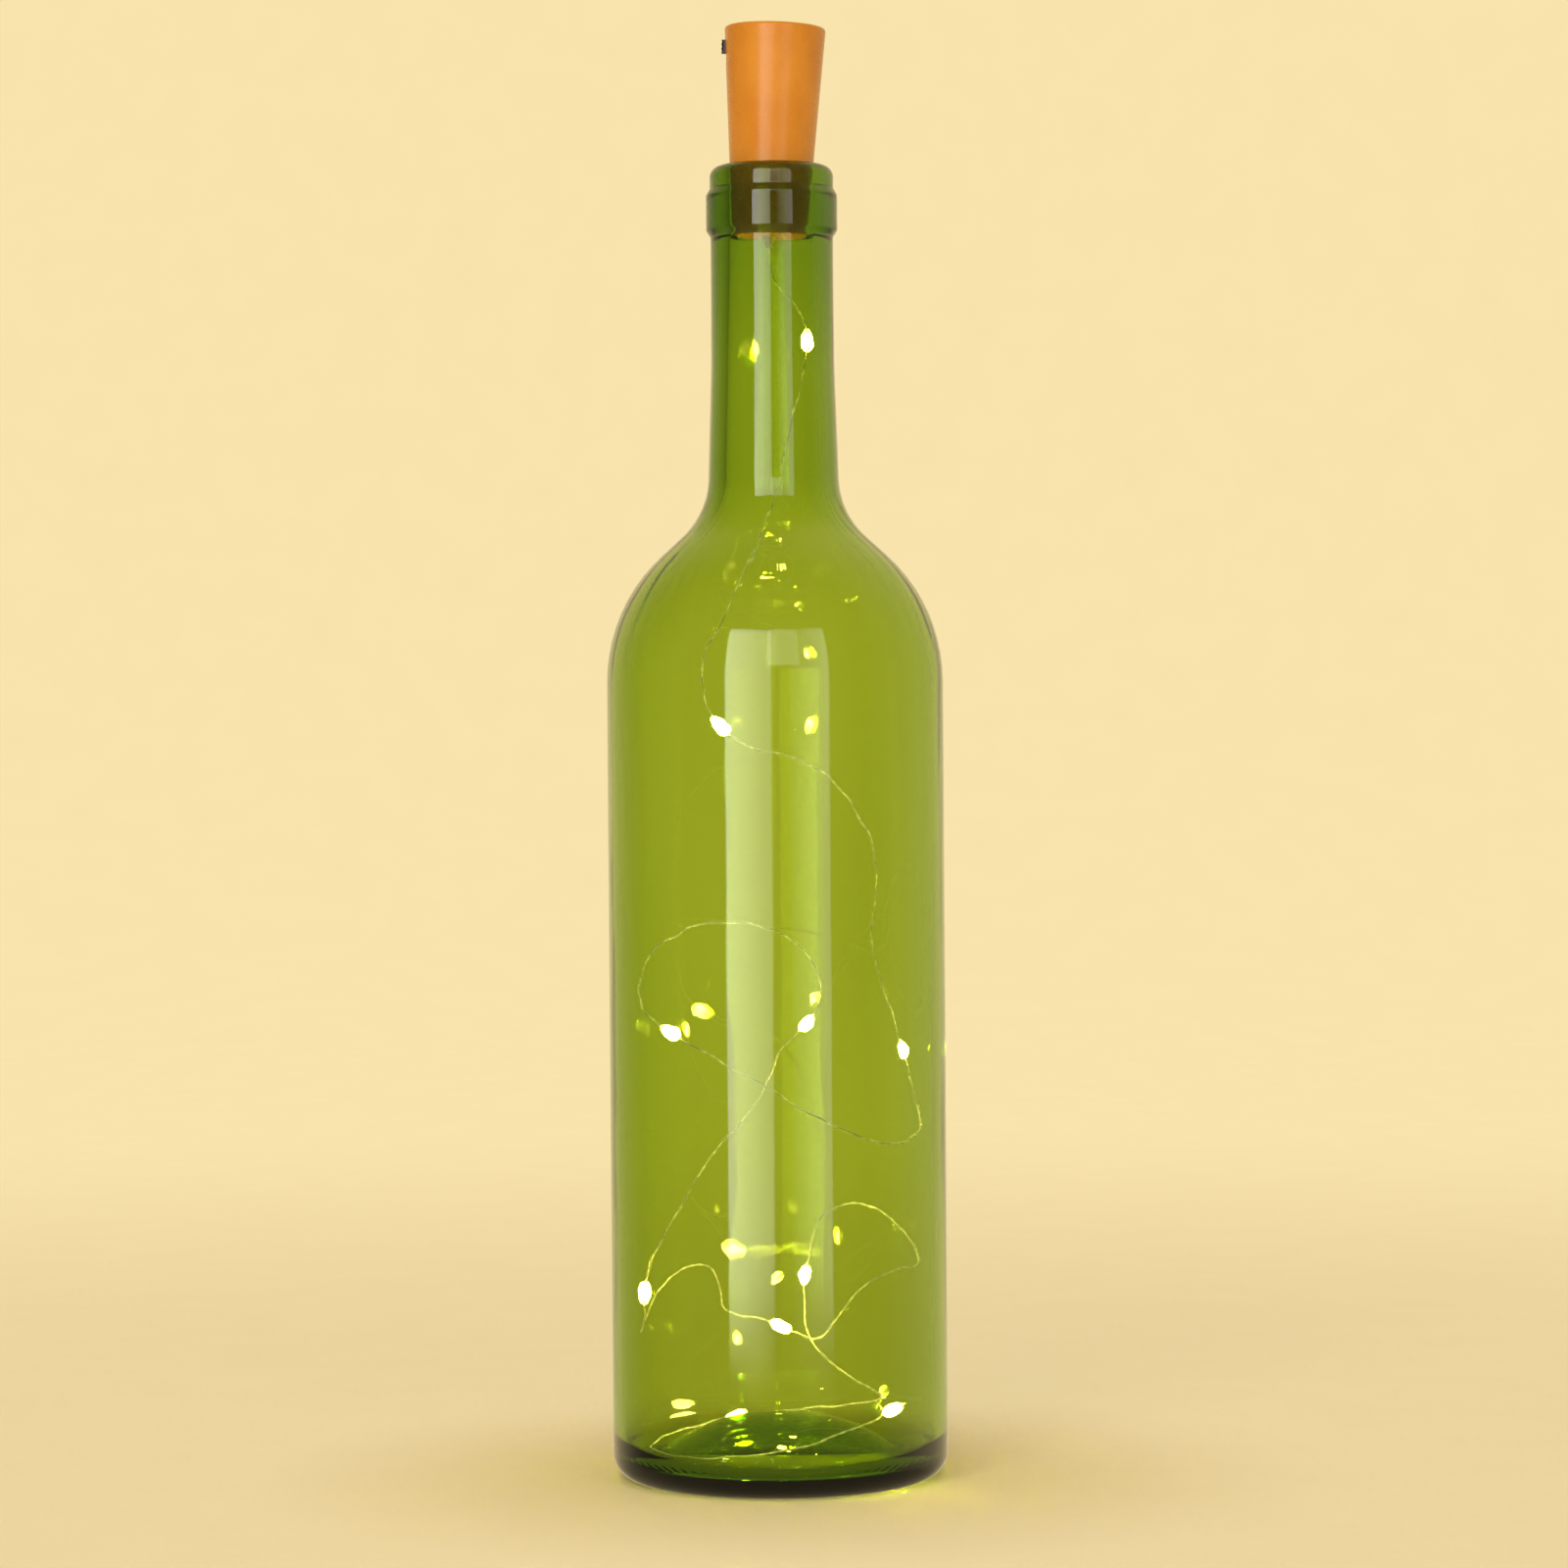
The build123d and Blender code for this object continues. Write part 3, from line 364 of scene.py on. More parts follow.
def spread(nodes, links, value, low, high):
    """A noise value brought to a range."""
    return ramp(nodes, links, value, NOISE_LOW, NOISE_HIGH, low, high)


def between(nodes, links, value, dark, light):
    """A colour between two, by a noise value."""
    mix = nodes.new("ShaderNodeMix")
    mix.data_type = "RGBA"
    mix.inputs["A"].default_value = (*dark, 1.0)
    mix.inputs["B"].default_value = (*light, 1.0)
    links.new(spread(nodes, links, value, 0.0, 1.0), mix.inputs["Factor"])
    return mix.outputs["Result"]


def relief(nodes, links, value, height):
    """A bump of the given height."""
    bump = nodes.new("ShaderNodeBump")
    bump.inputs["Distance"].default_value = height
    links.new(value, bump.inputs["Height"])
    return bump.outputs["Normal"]


def worked_surface(name, dark, light, gloss, scale, height, metal=0.0):
    """A surface whose colour, gloss and relief vary with its grain."""
    material, nodes, links, main = shader(name)
    coarse = grain(nodes, links, scale)
    fine = grain(nodes, links, FINE_GRAIN * scale, detail=2.0)
    links.new(between(nodes, links, coarse, dark, light), main.inputs["Base Color"])
    links.new(spread(nodes, links, fine, *gloss), main.inputs["Roughness"])
    links.new(relief(nodes, links, fine, height), main.inputs["Normal"])
    main.inputs["Metallic"].default_value = metal
    return material


def bottle_glass():
    """Clear green glass, with the faint waves of a moulded bottle."""
    material, nodes, links, main = shader("green_glass")
    main.inputs["Base Color"].default_value = (1.0, 1.0, 1.0, 1.0)
    main.inputs["Transmission Weight"].default_value = 1.0
    main.inputs["IOR"].default_value = GLASS_IOR
    waves = grain(nodes, links, scale=60.0, detail=2.0, stretch=(1.0, 1.0, 0.4))
    links.new(spread(nodes, links, waves, low=0.0, high=0.012), main.inputs["Roughness"])
    links.new(relief(nodes, links, waves, height=0.00003), main.inputs["Normal"])
    tint = nodes.new("ShaderNodeVolumeAbsorption")
    tint.inputs["Color"].default_value = (*GLASS_TINT, 1.0)
    tint.inputs["Density"].default_value = GLASS_DENSITY
    links.new(tint.outputs["Volume"], nodes["Material Output"].inputs["Volume"])
    return material


def drop_resin():
    """Clear resin that glows with the light inside it."""
    material, nodes, links, main = shader("clear_resin")
    cloud = grain(nodes, links, scale=900.0, detail=2.0)
    tone = between(nodes, links, cloud, dark=(0.95, 0.86, 0.62), light=(1.0, 0.95, 0.8))
    links.new(tone, main.inputs["Base Color"])
    links.new(spread(nodes, links, cloud, low=0.02, high=0.1), main.inputs["Roughness"])
    main.inputs["Transmission Weight"].default_value = 1.0
    main.inputs["IOR"].default_value = RESIN_IOR
    main.inputs["Emission Color"].default_value = (1.0, 0.8, 0.42, 1.0)
    held = nodes.new("ShaderNodeAttribute")
    held.attribute_name = "glow"
    glow = ramp(nodes, links, held.outputs["Fac"], 0.0, 1.0, DROP_END_GLOW, DROP_MIDDLE_GLOW)
    links.new(glow, main.inputs["Emission Strength"])
    material.cycles.emission_sampling = "FRONT"
    return material


def light_chip():
    """Lit phosphor."""
    material, nodes, links, main = shader("light_chip")
    speckle = grain(nodes, links, scale=4000.0, detail=2.0)
    tone = between(nodes, links, speckle, dark=(0.9, 0.68, 0.2), light=(1.0, 0.82, 0.4))
    links.new(tone, main.inputs["Base Color"])
    main.inputs["Emission Color"].default_value = (1.0, 0.85, 0.52, 1.0)
    main.inputs["Emission Strength"].default_value = CHIP_GLOW
    material.cycles.emission_sampling = "NONE"
    return material


def silver_wire():
    """Silvered wire with painted glints: a patchy glow stands in for the light of the drops that it catches
    here and there.
    """
    material, nodes, links, main = shader("silver_wire")
    glint = grain(nodes, links, scale=350.0, detail=3.0)
    tone = between(nodes, links, glint, dark=(0.62, 0.60, 0.55), light=(0.92, 0.90, 0.86))
    links.new(tone, main.inputs["Base Color"])
    links.new(spread(nodes, links, glint, low=0.45, high=0.25), main.inputs["Roughness"])
    main.inputs["Metallic"].default_value = 0.5
    # painted glints: emission in noise patches stands in for the drops' light falling on the wire
    main.inputs["Emission Color"].default_value = (1.0, 0.93, 0.78, 1.0)
    painted_glints = ramp(nodes, links, glint, start=0.45, end=0.7, low=0.1, high=0.45)
    links.new(painted_glints, main.inputs["Emission Strength"])
    material.cycles.emission_sampling = "NONE"
    return material


def add_mesh(name, points, faces, material):
    """A smooth mesh object in the scene."""
    mesh = bpy.data.meshes.new(name)
    mesh.from_pydata(points, [], faces)
    mesh.materials.append(material)
    mesh.shade_smooth()
    piece = bpy.data.objects.new(name, mesh)
    bpy.context.scene.collection.objects.link(piece)
    return piece


def rounded(corners, radii):
    """Points along a line of corners, each corner but the ends rounded to its radius."""
    points = [Vector(corner) for corner in corners]
    line = [points[0]]
    for before, corner, after, radius in zip(points, points[1:], points[2:], radii):
        arrive = (corner - before).normalized()
        leave = (after - corner).normalized()
        turn = atan2(arrive.x * leave.y - arrive.y * leave.x, arrive.dot(leave))
        start = corner - arrive * radius * tan(abs(turn) / 2)
        inward = Vector((-arrive.y, arrive.x)) * (1 if turn > 0 else -1)
        centre = start + inward * radius
        steps = max(2, ceil(abs(turn) / ARC_STEP))
        for step in range(steps + 1):
            spin = Matrix.Rotation(turn * step / steps, 2)
            line.append(centre + spin @ (start - centre))
    return line + [points[-1]]


def dome(edge_radius, edge_height, top_height):
    """Points on a round dome, from its top on the axis out to its edge."""
    rise = top_height - edge_height
    radius = (edge_radius**2 + rise**2) / (2 * rise)
    reach = asin(edge_radius / radius)
    steps = ceil(reach / ARC_STEP) * 2
    angles = [reach * step / steps for step in range(steps + 1)]
    return [Vector((radius * sin(angle), top_height - radius * (1 - cos(angle)))) for angle in angles]


def closely_spaced(line, spacing):
    """The same line with points no further apart than the spacing."""
    points = [line[0]]
    for before, after in zip(line, line[1:]):
        steps = max(1, ceil((after - before).length / spacing))
        points += [before.lerp(after, step / steps) for step in range(1, steps + 1)]
    return points


def bottle_outline():
    """The bottle's section as (radius, height) points: up the outside and down the inside."""
    inner_radius = BODY_RADIUS - BODY_WALL
    neck_inner_radius = NECK_ROOT_HALF_WIDTH - NECK_WALL
    neck_root_height = BOTTLE_HEIGHT - NECK_ROOT_DROP
    slope = tan(SHOULDER_ANGLE)
    shoulder_height = neck_root_height - (BODY_RADIUS - NECK_ROOT_HALF_WIDTH) / slope
    shoulder_inner_height = shoulder_height - BODY_WALL * tan(SHOULDER_ANGLE / 2)
    neck_inner_height = shoulder_inner_height + (inner_radius - neck_inner_radius) / slope
    ring_top = BOTTLE_HEIGHT - LIP_HEIGHT
    ring_bottom = ring_top - RING_HEIGHT
    trough_radius = inner_radius - INNER_HEEL_RADIUS - TROUGH_FLAT
    lip_middle = (LIP_HALF_WIDTH + BORE_RADIUS) / 2
    outside = rounded(
        [
            (STANDING_RING_INNER_RADIUS, 0),
            (BODY_RADIUS, 0),
            (BODY_RADIUS, shoulder_height),
            (NECK_ROOT_HALF_WIDTH, neck_root_height),
            (NECK_HALF_WIDTH, BOTTLE_HEIGHT - NECK_SLIM_DROP),
            (NECK_HALF_WIDTH, ring_bottom),
            (RING_HALF_WIDTH, ring_bottom + FINISH_SLOPE_HEIGHT),
            (RING_HALF_WIDTH, ring_top - FINISH_SLOPE_HEIGHT),
            (LIP_HALF_WIDTH, ring_top),
            (LIP_HALF_WIDTH, BOTTLE_HEIGHT),
            (lip_middle, BOTTLE_HEIGHT),
        ],
        [
            HEEL_RADIUS,
            SHOULDER_RADIUS,
            NECK_ROOT_RADIUS,
            NECK_EASE_RADIUS,
            FINISH_EDGE_RADIUS,
            FINISH_EDGE_RADIUS,
            FINISH_EDGE_RADIUS,
            FINISH_EDGE_RADIUS,
            LIP_RADIUS,
        ],
    )
    inside = rounded(
        [
            (lip_middle, BOTTLE_HEIGHT),
            (BORE_RADIUS, BOTTLE_HEIGHT),
            (BORE_RADIUS, BOTTLE_HEIGHT - BORE_LENGTH),
            (neck_inner_radius, neck_inner_height),
            (inner_radius, shoulder_inner_height),
            (inner_radius, BASE_THICKNESS),
            (trough_radius, BASE_THICKNESS),
        ],
        [
            MOUTH_EDGE_RADIUS,
            BORE_EASE_RADIUS,
            NECK_ROOT_RADIUS + NECK_WALL,
            SHOULDER_RADIUS - BODY_WALL,
            INNER_HEEL_RADIUS,
        ],
    )
    underside = dome(STANDING_RING_INNER_RADIUS, 0, PUNT_DEPTH)
    floor = dome(trough_radius, BASE_THICKNESS, PUNT_DEPTH + BASE_THICKNESS)
    outside = closely_spaced(underside[:-1] + outside, OUTLINE_SPACING)
    inside = closely_spaced(inside + floor[::-1][1:], OUTLINE_SPACING)
    return outside, inside[1:]


def eased(value, low, high):
    """0 below low, 1 above high and smooth between."""
    share = min(1.0, max(0.0, (value - low) / (high - low)))
    return share * share * (3 - 2 * share)


def waviness(round_about, height, wave):
    """A noise that is smooth round the bottle and up it."""
    around, up, start = wave
    return noise.noise(round_about * around + Vector((0, 0, height * up + start)))


def unevenness(round_about, radius, height, inside):
    """How far the glass stands out from its plain round form."""
    below = eased(height, ROOT_RIPPLE_LOW - ROOT_RIPPLE_FADE, ROOT_RIPPLE_LOW)
    above = eased(height, ROOT_RIPPLE_HIGH, ROOT_RIPPLE_HIGH + ROOT_RIPPLE_FADE)
    root = below * (1 - above)
    waves = waviness(round_about, height, BROAD_WAVE)
    waves += STREAK_SHARE * waviness(round_about, height, STREAK)
    waves += (RIPPLE_SHARE + ROOT_RIPPLE_SHARE * root) * waviness(round_about, height, RIPPLE)
    if not inside:
        return OUTER_WAVE * waves
    if radius > NARROW_RADIUS:
        return INNER_WAVE * waves
    return INNER_WAVE * NARROW_SHARE * waves


def glass_point(section, angle, inside):
    """A point of the bottle's glass, with its waves, seams and the knurls that it stands on."""
    radius, height = section
    round_about = Vector((cos(angle), sin(angle), 0))
    below_mouth = 1 - eased(height, BOTTLE_HEIGHT - WAVY_FROM_MOUTH, BOTTLE_HEIGHT - SMOOTH_FROM_MOUTH)
    above_base = eased(height, SMOOTH_HEIGHT, WAVY_HEIGHT)
    shift = unevenness(round_about, radius, height, inside) * below_mouth * above_base
    lift = 0.0
    if not inside:
        side = min(abs(angle), abs(angle - pi), abs(angle - 2 * pi))
        shift += SEAM_HEIGHT * exp(-((side / SEAM_HALF_ANGLE) ** 2)) * above_base * below_mouth
        knurl_start = STANDING_RING_INNER_RADIUS + KNURL_INSET
        knurl_end = BODY_RADIUS - HEEL_RADIUS + KNURL_REACH
        if knurl_start < radius < knurl_end and height < KNURL_TOP:
            lift = KNURL_DEPTH * (0.5 - 0.5 * cos(KNURL_COUNT * angle))
    return round_about * (radius + shift) + Vector((0, 0, height + lift))


def make_bottle():
    """The bottle, turned about its axis."""
    outside, inside = bottle_outline()
    rows = [(section, False) for section in outside[1:]] + [(section, True) for section in inside[:-1]]
    points = [Vector((0, 0, outside[0].y)), Vector((0, 0, inside[-1].y))]
    for section, is_inside in rows:
        for step in range(BOTTLE_SEGMENTS):
            points.append(glass_point(section, 2 * pi * step / BOTTLE_SEGMENTS, is_inside))

    def corner(row, step):
        return 2 + row * BOTTLE_SEGMENTS + step % BOTTLE_SEGMENTS

    last = len(rows) - 1
    faces = []
    for step in range(BOTTLE_SEGMENTS):
        beside = step + 1
        faces.append((0, corner(0, beside), corner(0, step)))
        for row in range(last):
            lower = (corner(row, step), corner(row, beside))
            upper = (corner(row + 1, beside), corner(row + 1, step))
            faces.append(lower + upper)
        faces.append((1, corner(last, step), corner(last, beside)))
    bottle = add_mesh("bottle", points, faces, bottle_glass())
    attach(bottle, "bottle")
    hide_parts("glass_bottle")


def route_points():
    """Points along the smooth line that the route's points draw."""
    curve = bpy.data.curves.new("route", "CURVE")
    curve.dimensions = "3D"
    spline = curve.splines.new("NURBS")
    spline.points.add(len(ROUTE) - 1)
    for point, place in zip(spline.points, ROUTE):
        point.co = (*place, 1.0)
    spline.order_u = ROUTE_ORDER
    spline.use_endpoint_u = True
    spline.resolution_u = ROUTE_RESOLUTION
    line = bpy.data.objects.new("route", curve)
    bpy.context.scene.collection.objects.link(line)
    bpy.context.view_layer.update()
    mesh = bpy.data.meshes.new_from_object(line)
    points = [vertex.co.copy() for vertex in mesh.vertices]
    bpy.data.objects.remove(line)
    bpy.data.curves.remove(curve)
    bpy.data.meshes.remove(mesh)
    return points


def crinkled(line, drops):
    """The line with the kinks of a wire that was wound up, but straight through each drop."""
    noise.seed_set(CRINKLE_SEED)
    kinked = []
    for here in line:
        nearest = min((here - drop).length for drop in drops)
        amount = CRINKLE * eased(nearest, DROP_LENGTH / 2, DROP_LENGTH)
        kinked.append(here + noise.noise_vector(here / CRINKLE_SPACING) * amount)
    return kinked


def tube_faces(first, rings, sides):
    """Faces of a closed tube, whose rings of points start at the index first."""
    faces = []
    for ring in range(rings - 1):
        near = first + ring * sides
        far = near + sides
        for side in range(sides):
            beside = (side + 1) % sides
            faces.append((near + side, near + beside, far + beside, far + side))
    last = first + (rings - 1) * sides
    faces.append([first + side for side in reversed(range(sides))])
    faces.append([last + side for side in range(sides)])
    return faces


def ways_along(line):
    """Each point of the line with the way ahead, a way across that doesn't spin, and the length so far."""
    ahead = (line[1] - line[0]).normalized()
    across = ahead.orthogonal().normalized()
    travelled = 0.0
    ways = []
    for index, here in enumerate(line):
        following = (line[min(index + 1, len(line) - 1)] - line[max(index - 1, 0)]).normalized()
        across = ahead.rotation_difference(following) @ across
        ahead = following
        if index:
            travelled += (here - line[index - 1]).length
        ways.append((here, ahead, across, travelled))
    return ways


def make_wire(line, material):
    """Two fine strands twisted about the line, and the line's length."""
    points = []
    faces = []
    ways = ways_along(line)
    for strand in (0, 1):
        faces += tube_faces(len(points), len(ways), STRAND_SIDES)
        for here, ahead, across, travelled in ways:
            turn = 2 * pi * travelled / TWIST_PITCH + pi * strand
            outward = Matrix.Rotation(turn, 3, ahead) @ across
            centre = here + outward * STRAND_RADIUS
            for side in range(STRAND_SIDES):
                spoke = Matrix.Rotation(2 * pi * side / STRAND_SIDES, 3, ahead) @ outward
                points.append(centre + spoke * STRAND_RADIUS)
    length = ways[-1][-1]
    return add_mesh("light_wire", points, faces, material), length


def run_middle(run):
    """The middle of a run of the route, from one of its points to the next."""
    return (Vector(ROUTE[run]) + Vector(ROUTE[run + 1])) / 2


def add_drop(points, faces, glows, run, shapes):
    """One resin drop round the middle of a run of the route, each a little different."""
    along = (Vector(ROUTE[run + 1]) - Vector(ROUTE[run])).normalized()
    across = along.cross(Vector((0, 0, 1)).cross(along)).normalized()
    beside = along.cross(across)
    middle = run_middle(run)
    length = DROP_LENGTH * shapes.uniform(*DROP_LENGTHS)
    flat = shapes.uniform(*DROP_FLATNESS)
    skew = shapes.uniform(*DROP_SKEW)
    faces.extend(tube_faces(len(points), DROP_ROWS + 1, DROP_SIDES))
    for row in range(DROP_ROWS + 1):
        share = -1 + 2 * row / DROP_ROWS
        swell = (1 - share * share) ** DROP_FULLNESS * (1 + skew * share)
        radius = DROP_END_RADIUS + (DROP_RADIUS - DROP_END_RADIUS) * swell
        for side in range(DROP_SIDES):
            turn = 2 * pi * side / DROP_SIDES
            spoke = across * cos(turn) + beside * sin(turn) * flat
            place = spoke * LUMP_SCALE + Vector((0, LUMP_ALONG * share, LUMP_APART * run))
            lump = 1 + LUMP_SIZE * swell * noise.noise(place)
            points.append(middle + along * (share * length / 2) + spoke * radius * lump)
            glows.append(exp(-((share / GLOW_REACH) ** 2)))


def make_drops(name, runs, body, node, material, shapes):
    """Resin drops at the given runs of the route, riding on one body."""
    points = []
    faces = []
    glows = []
    for run in runs:
        add_drop(points, faces, glows, run, shapes)
    drops = add_mesh(name, points, faces, material)
    drops.data.attributes.new("glow", "FLOAT", "POINT").data.foreach_set("value", glows)
    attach(drops, body)
    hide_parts(node)
    return drops


def make_string():
    """The wire with its lights, from the stopper to the last drop."""
    shapes = Random(DROP_SEED)
    resin = drop_resin()
    neck_drop = make_drops("neck_drop", [NECK_DROP_RUN], "cork", "neck_led_drop", resin, shapes)
    drops = make_drops("string_drops", STRING_DROP_RUNS, "bottle", "string_led_drops", resin, shapes)
    line = route_points()
    middles = [run_middle(run) for run in [NECK_DROP_RUN] + STRING_DROP_RUNS]
    wire, length = make_wire(crinkled(line, middles), silver_wire())
    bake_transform(wire)
    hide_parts("neck_wire", "slack_wire", "string_wire")


def on_stopper():
    """The stopper's own frame: its top's centre, leaning as it sits."""
    lean = Matrix.Rotation(STOPPER_LEAN, 4, "Y")
    return Matrix.Translation((0, 0, SEAT_HEIGHT)) @ lean @ Matrix.Translation((0, 0, SEAT_DEPTH))


def make_knob(material):
    """The switch's knob, ridged for a thumbnail, with its slider behind it."""
    steps = KNOB_RIDGE_STEPS * KNOB_RIDGES
    top = -KNOB_MIDDLE_DEPTH + KNOB_HEIGHT / 2
    slider_top = top + KNOB_SLIDER_OVERHANG
    outline = [(KNOB_SLIDER_BACK, slider_top), (KNOB_SLIDER_FACE, slider_top), (KNOB_SLIDER_FACE, top)]
    for step in range(steps + 1):
        share = step / steps
        groove = KNOB_RIDGE_DEPTH * (0.5 - 0.5 * cos(2 * pi * KNOB_RIDGES * share))
        outline.append((KNOB_FACE + groove, top - KNOB_HEIGHT * share))
    low = top - KNOB_HEIGHT
    slider_low = low - KNOB_SLIDER_OVERHANG
    outline += [(KNOB_SLIDER_FACE, low), (KNOB_SLIDER_FACE, slider_low), (KNOB_SLIDER_BACK, slider_low)]
    count = len(outline)
    place = on_stopper()
    points = []
    for hand in (-1, 1):
        points += [place @ Vector((x, hand * KNOB_WIDTH / 2, z)) for x, z in outline]
    faces = []
    for index in range(count):
        beside = (index + 1) % count
        faces.append([index, beside, count + beside, count + index])
    faces.append(list(reversed(range(count))))
    faces.append(list(range(count, 2 * count)))
    knob = add_mesh("knob", points, faces, material)
    shape = bmesh.new()
    shape.from_mesh(knob.data)
    bmesh.ops.recalc_face_normals(shape, faces=shape.faces)
    shape.to_mesh(knob.data)
    shape.free()
    bevel = knob.modifiers.new("edges", "BEVEL")
    bevel.width = KNOB_BEVEL
    bevel.segments = KNOB_BEVEL_SEGMENTS
    bevel.limit_method = "ANGLE"
    bevel.angle_limit = KNOB_BEVEL_ANGLE
    knob.data.set_sharp_from_angle(angle=KNOB_SHARP_ANGLE)
    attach(knob, "switch")
    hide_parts("switch_knob")


def dress(material, *nodes):
    """Give CAD nodes a material."""
    for node in nodes:
        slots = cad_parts[node].data.materials
        slots.clear()
        slots.append(material)


def cork_plastic():
    """Tan plastic with a soft gloss and a faint mottle."""
    material, nodes, links, main = shader("cork_plastic")
    mottle = grain(nodes, links, scale=140.0, detail=5.0, stretch=(1.0, 1.0, 0.5))
    skin = grain(nodes, links, scale=2500.0, detail=2.0)
    tone = between(nodes, links, mottle, dark=(0.61, 0.205, 0.013), light=(0.70, 0.265, 0.026))
    links.new(tone, main.inputs["Base Color"])
    links.new(spread(nodes, links, skin, low=0.22, high=0.30), main.inputs["Roughness"])
    links.new(relief(nodes, links, skin, height=0.000006), main.inputs["Normal"])
    main.inputs["Specular IOR Level"].default_value = 0.35
    return material


def dress_battery():
    """Black plastic round bright steel cells with grey gaskets."""
    holder = worked_surface(
        "holder_plastic",
        dark=(0.012, 0.012, 0.013),
        light=(0.03, 0.03, 0.032),
        gloss=(0.35, 0.55),
        scale=500.0,
        height=0.00001,
    )
    dress(holder, "battery_holder")
    steel = worked_surface(
        "cell_steel",
        dark=(0.6, 0.6, 0.58),
        light=(0.78, 0.78, 0.76),
        gloss=(0.18, 0.34),
        scale=700.0,
        height=0.000004,
        metal=1.0,
    )
    dress(steel, "cell_cans", "cell_caps")
    nylon = worked_surface(
        "gasket_nylon",
        dark=(0.12, 0.12, 0.13),
        light=(0.2, 0.2, 0.21),
        gloss=(0.4, 0.6),
        scale=900.0,
        height=0.000006,
    )
    dress(nylon, "cell_gaskets")


def dress_contacts():
    """Brass for everything that carries the current by touch."""
    brass = worked_surface(
        "contact_metal",
        dark=(0.68, 0.52, 0.24),
        light=(0.85, 0.7, 0.4),
        gloss=(0.2, 0.4),
        scale=800.0,
        height=0.000004,
        metal=1.0,
    )
    dress(brass, "spring_contact", "side_contact", "cap_contact", "switch_terminals", "switch_wiper")


def dress_board():
    """The green board."""
    laminate = worked_surface(
        "board_laminate",
        dark=(0.01, 0.08, 0.03),
        light=(0.02, 0.14, 0.05),
        gloss=(0.25, 0.4),
        scale=900.0,
        height=0.000006,
    )
    dress(laminate, "circuit_board")


def dress_switch():
    """The switch's brown wafer in its tinplate can."""
    phenolic = worked_surface(
        "switch_wafer_board",
        dark=(0.1, 0.045, 0.02),
        light=(0.16, 0.08, 0.035),
        gloss=(0.5, 0.7),
        scale=900.0,
        height=0.00001,
    )
    dress(phenolic, "switch_wafer")
    tinplate = worked_surface(
        "switch_tinplate",
        dark=(0.5, 0.5, 0.48),
        light=(0.66, 0.66, 0.64),
        gloss=(0.22, 0.4),
        scale=600.0,
        height=0.000005,
        metal=1.0,
    )
    dress(tinplate, "switch_can")


def dress_wiring():
    """What is soldered to the board: a black resistor and two leads with red insulation."""
    ceramic = worked_surface(
        "resistor_body",
        dark=(0.006, 0.006, 0.007),
        light=(0.02, 0.02, 0.022),
        gloss=(0.3, 0.5),
        scale=1200.0,
        height=0.000006,
    )
    dress(ceramic, "resistor")
    solder = worked_surface(
        "solder",
        dark=(0.5, 0.5, 0.5),
        light=(0.7, 0.7, 0.69),
        gloss=(0.2, 0.45),
        scale=1500.0,
        height=0.00001,
        metal=1.0,
    )
    dress(solder, "solder_joints")
    insulation = worked_surface(
        "lead_insulation",
        dark=(0.3, 0.015, 0.01),
        light=(0.42, 0.03, 0.02),
        gloss=(0.35, 0.5),
        scale=900.0,
        height=0.000006,
    )
    dress(insulation, "lead_wires")


def dress_fixings():
    """The glue round the wire and the cap's screw."""
    glue = worked_surface(
        "seal_glue",
        dark=(0.55, 0.48, 0.3),
        light=(0.7, 0.62, 0.42),
        gloss=(0.15, 0.35),
        scale=600.0,
        height=0.00002,
    )
    dress(glue, "wire_seal")
    zinc = worked_surface(
        "screw_steel",
        dark=(0.42, 0.42, 0.43),
        light=(0.62, 0.62, 0.62),
        gloss=(0.25, 0.45),
        scale=1500.0,
        height=0.000006,
        metal=1.0,
    )
    dress(zinc, "cap_screw")


def knob_plastic():
    """Dark plastic, its warm brown tint a painted reflection of warm surroundings."""
    return worked_surface(
        "knob_plastic",
        # the warm brown tint is a painted reflection of the warm room on dark plastic
        dark=(0.022, 0.012, 0.007),
        light=(0.045, 0.025, 0.015),
        gloss=(0.35, 0.5),
        scale=1200.0,
        height=0.000008,
    )


def dress_stopper():
    """Finishes of the stopper's pieces, and its knob."""
    dress(cork_plastic(), "cork_shell", "cork_cap")
    dress_battery()
    dress_contacts()
    dress_board()
    dress_switch()
    dress_wiring()
    dress_fixings()
    make_knob(knob_plastic())


def dress_chips():
    """The lit chips inside the drops."""
    dress(light_chip(), "neck_led_chip", "string_led_chips")
    for node in ("neck_led_chip", "string_led_chips"):
        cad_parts[node].visible_diffuse = False


def shown_rays(nodes, links):
    """1 for what the camera sees, directly or in gloss and glass, and 0 for the rest."""
    path = nodes.new("ShaderNodeLightPath").outputs
    through_gloss = calc(nodes, links, "MAXIMUM", path["Is Camera Ray"], path["Is Glossy Ray"])
    return calc(nodes, links, "MAXIMUM", through_gloss, path["Is Transmission Ray"])


def straight_through(nodes, links):
    """1 for what the camera sees straight through glass, without a mirroring, and 0 for the rest."""
    path = nodes.new("ShaderNodeLightPath").outputs
    turns = calc(nodes, links, "ADD", path["Glossy Depth"], path["Diffuse Depth"])
    straight = calc(nodes, links, "LESS_THAN", turns, 0.5)
    return calc(nodes, links, "MULTIPLY", straight, path["Is Transmission Ray"])


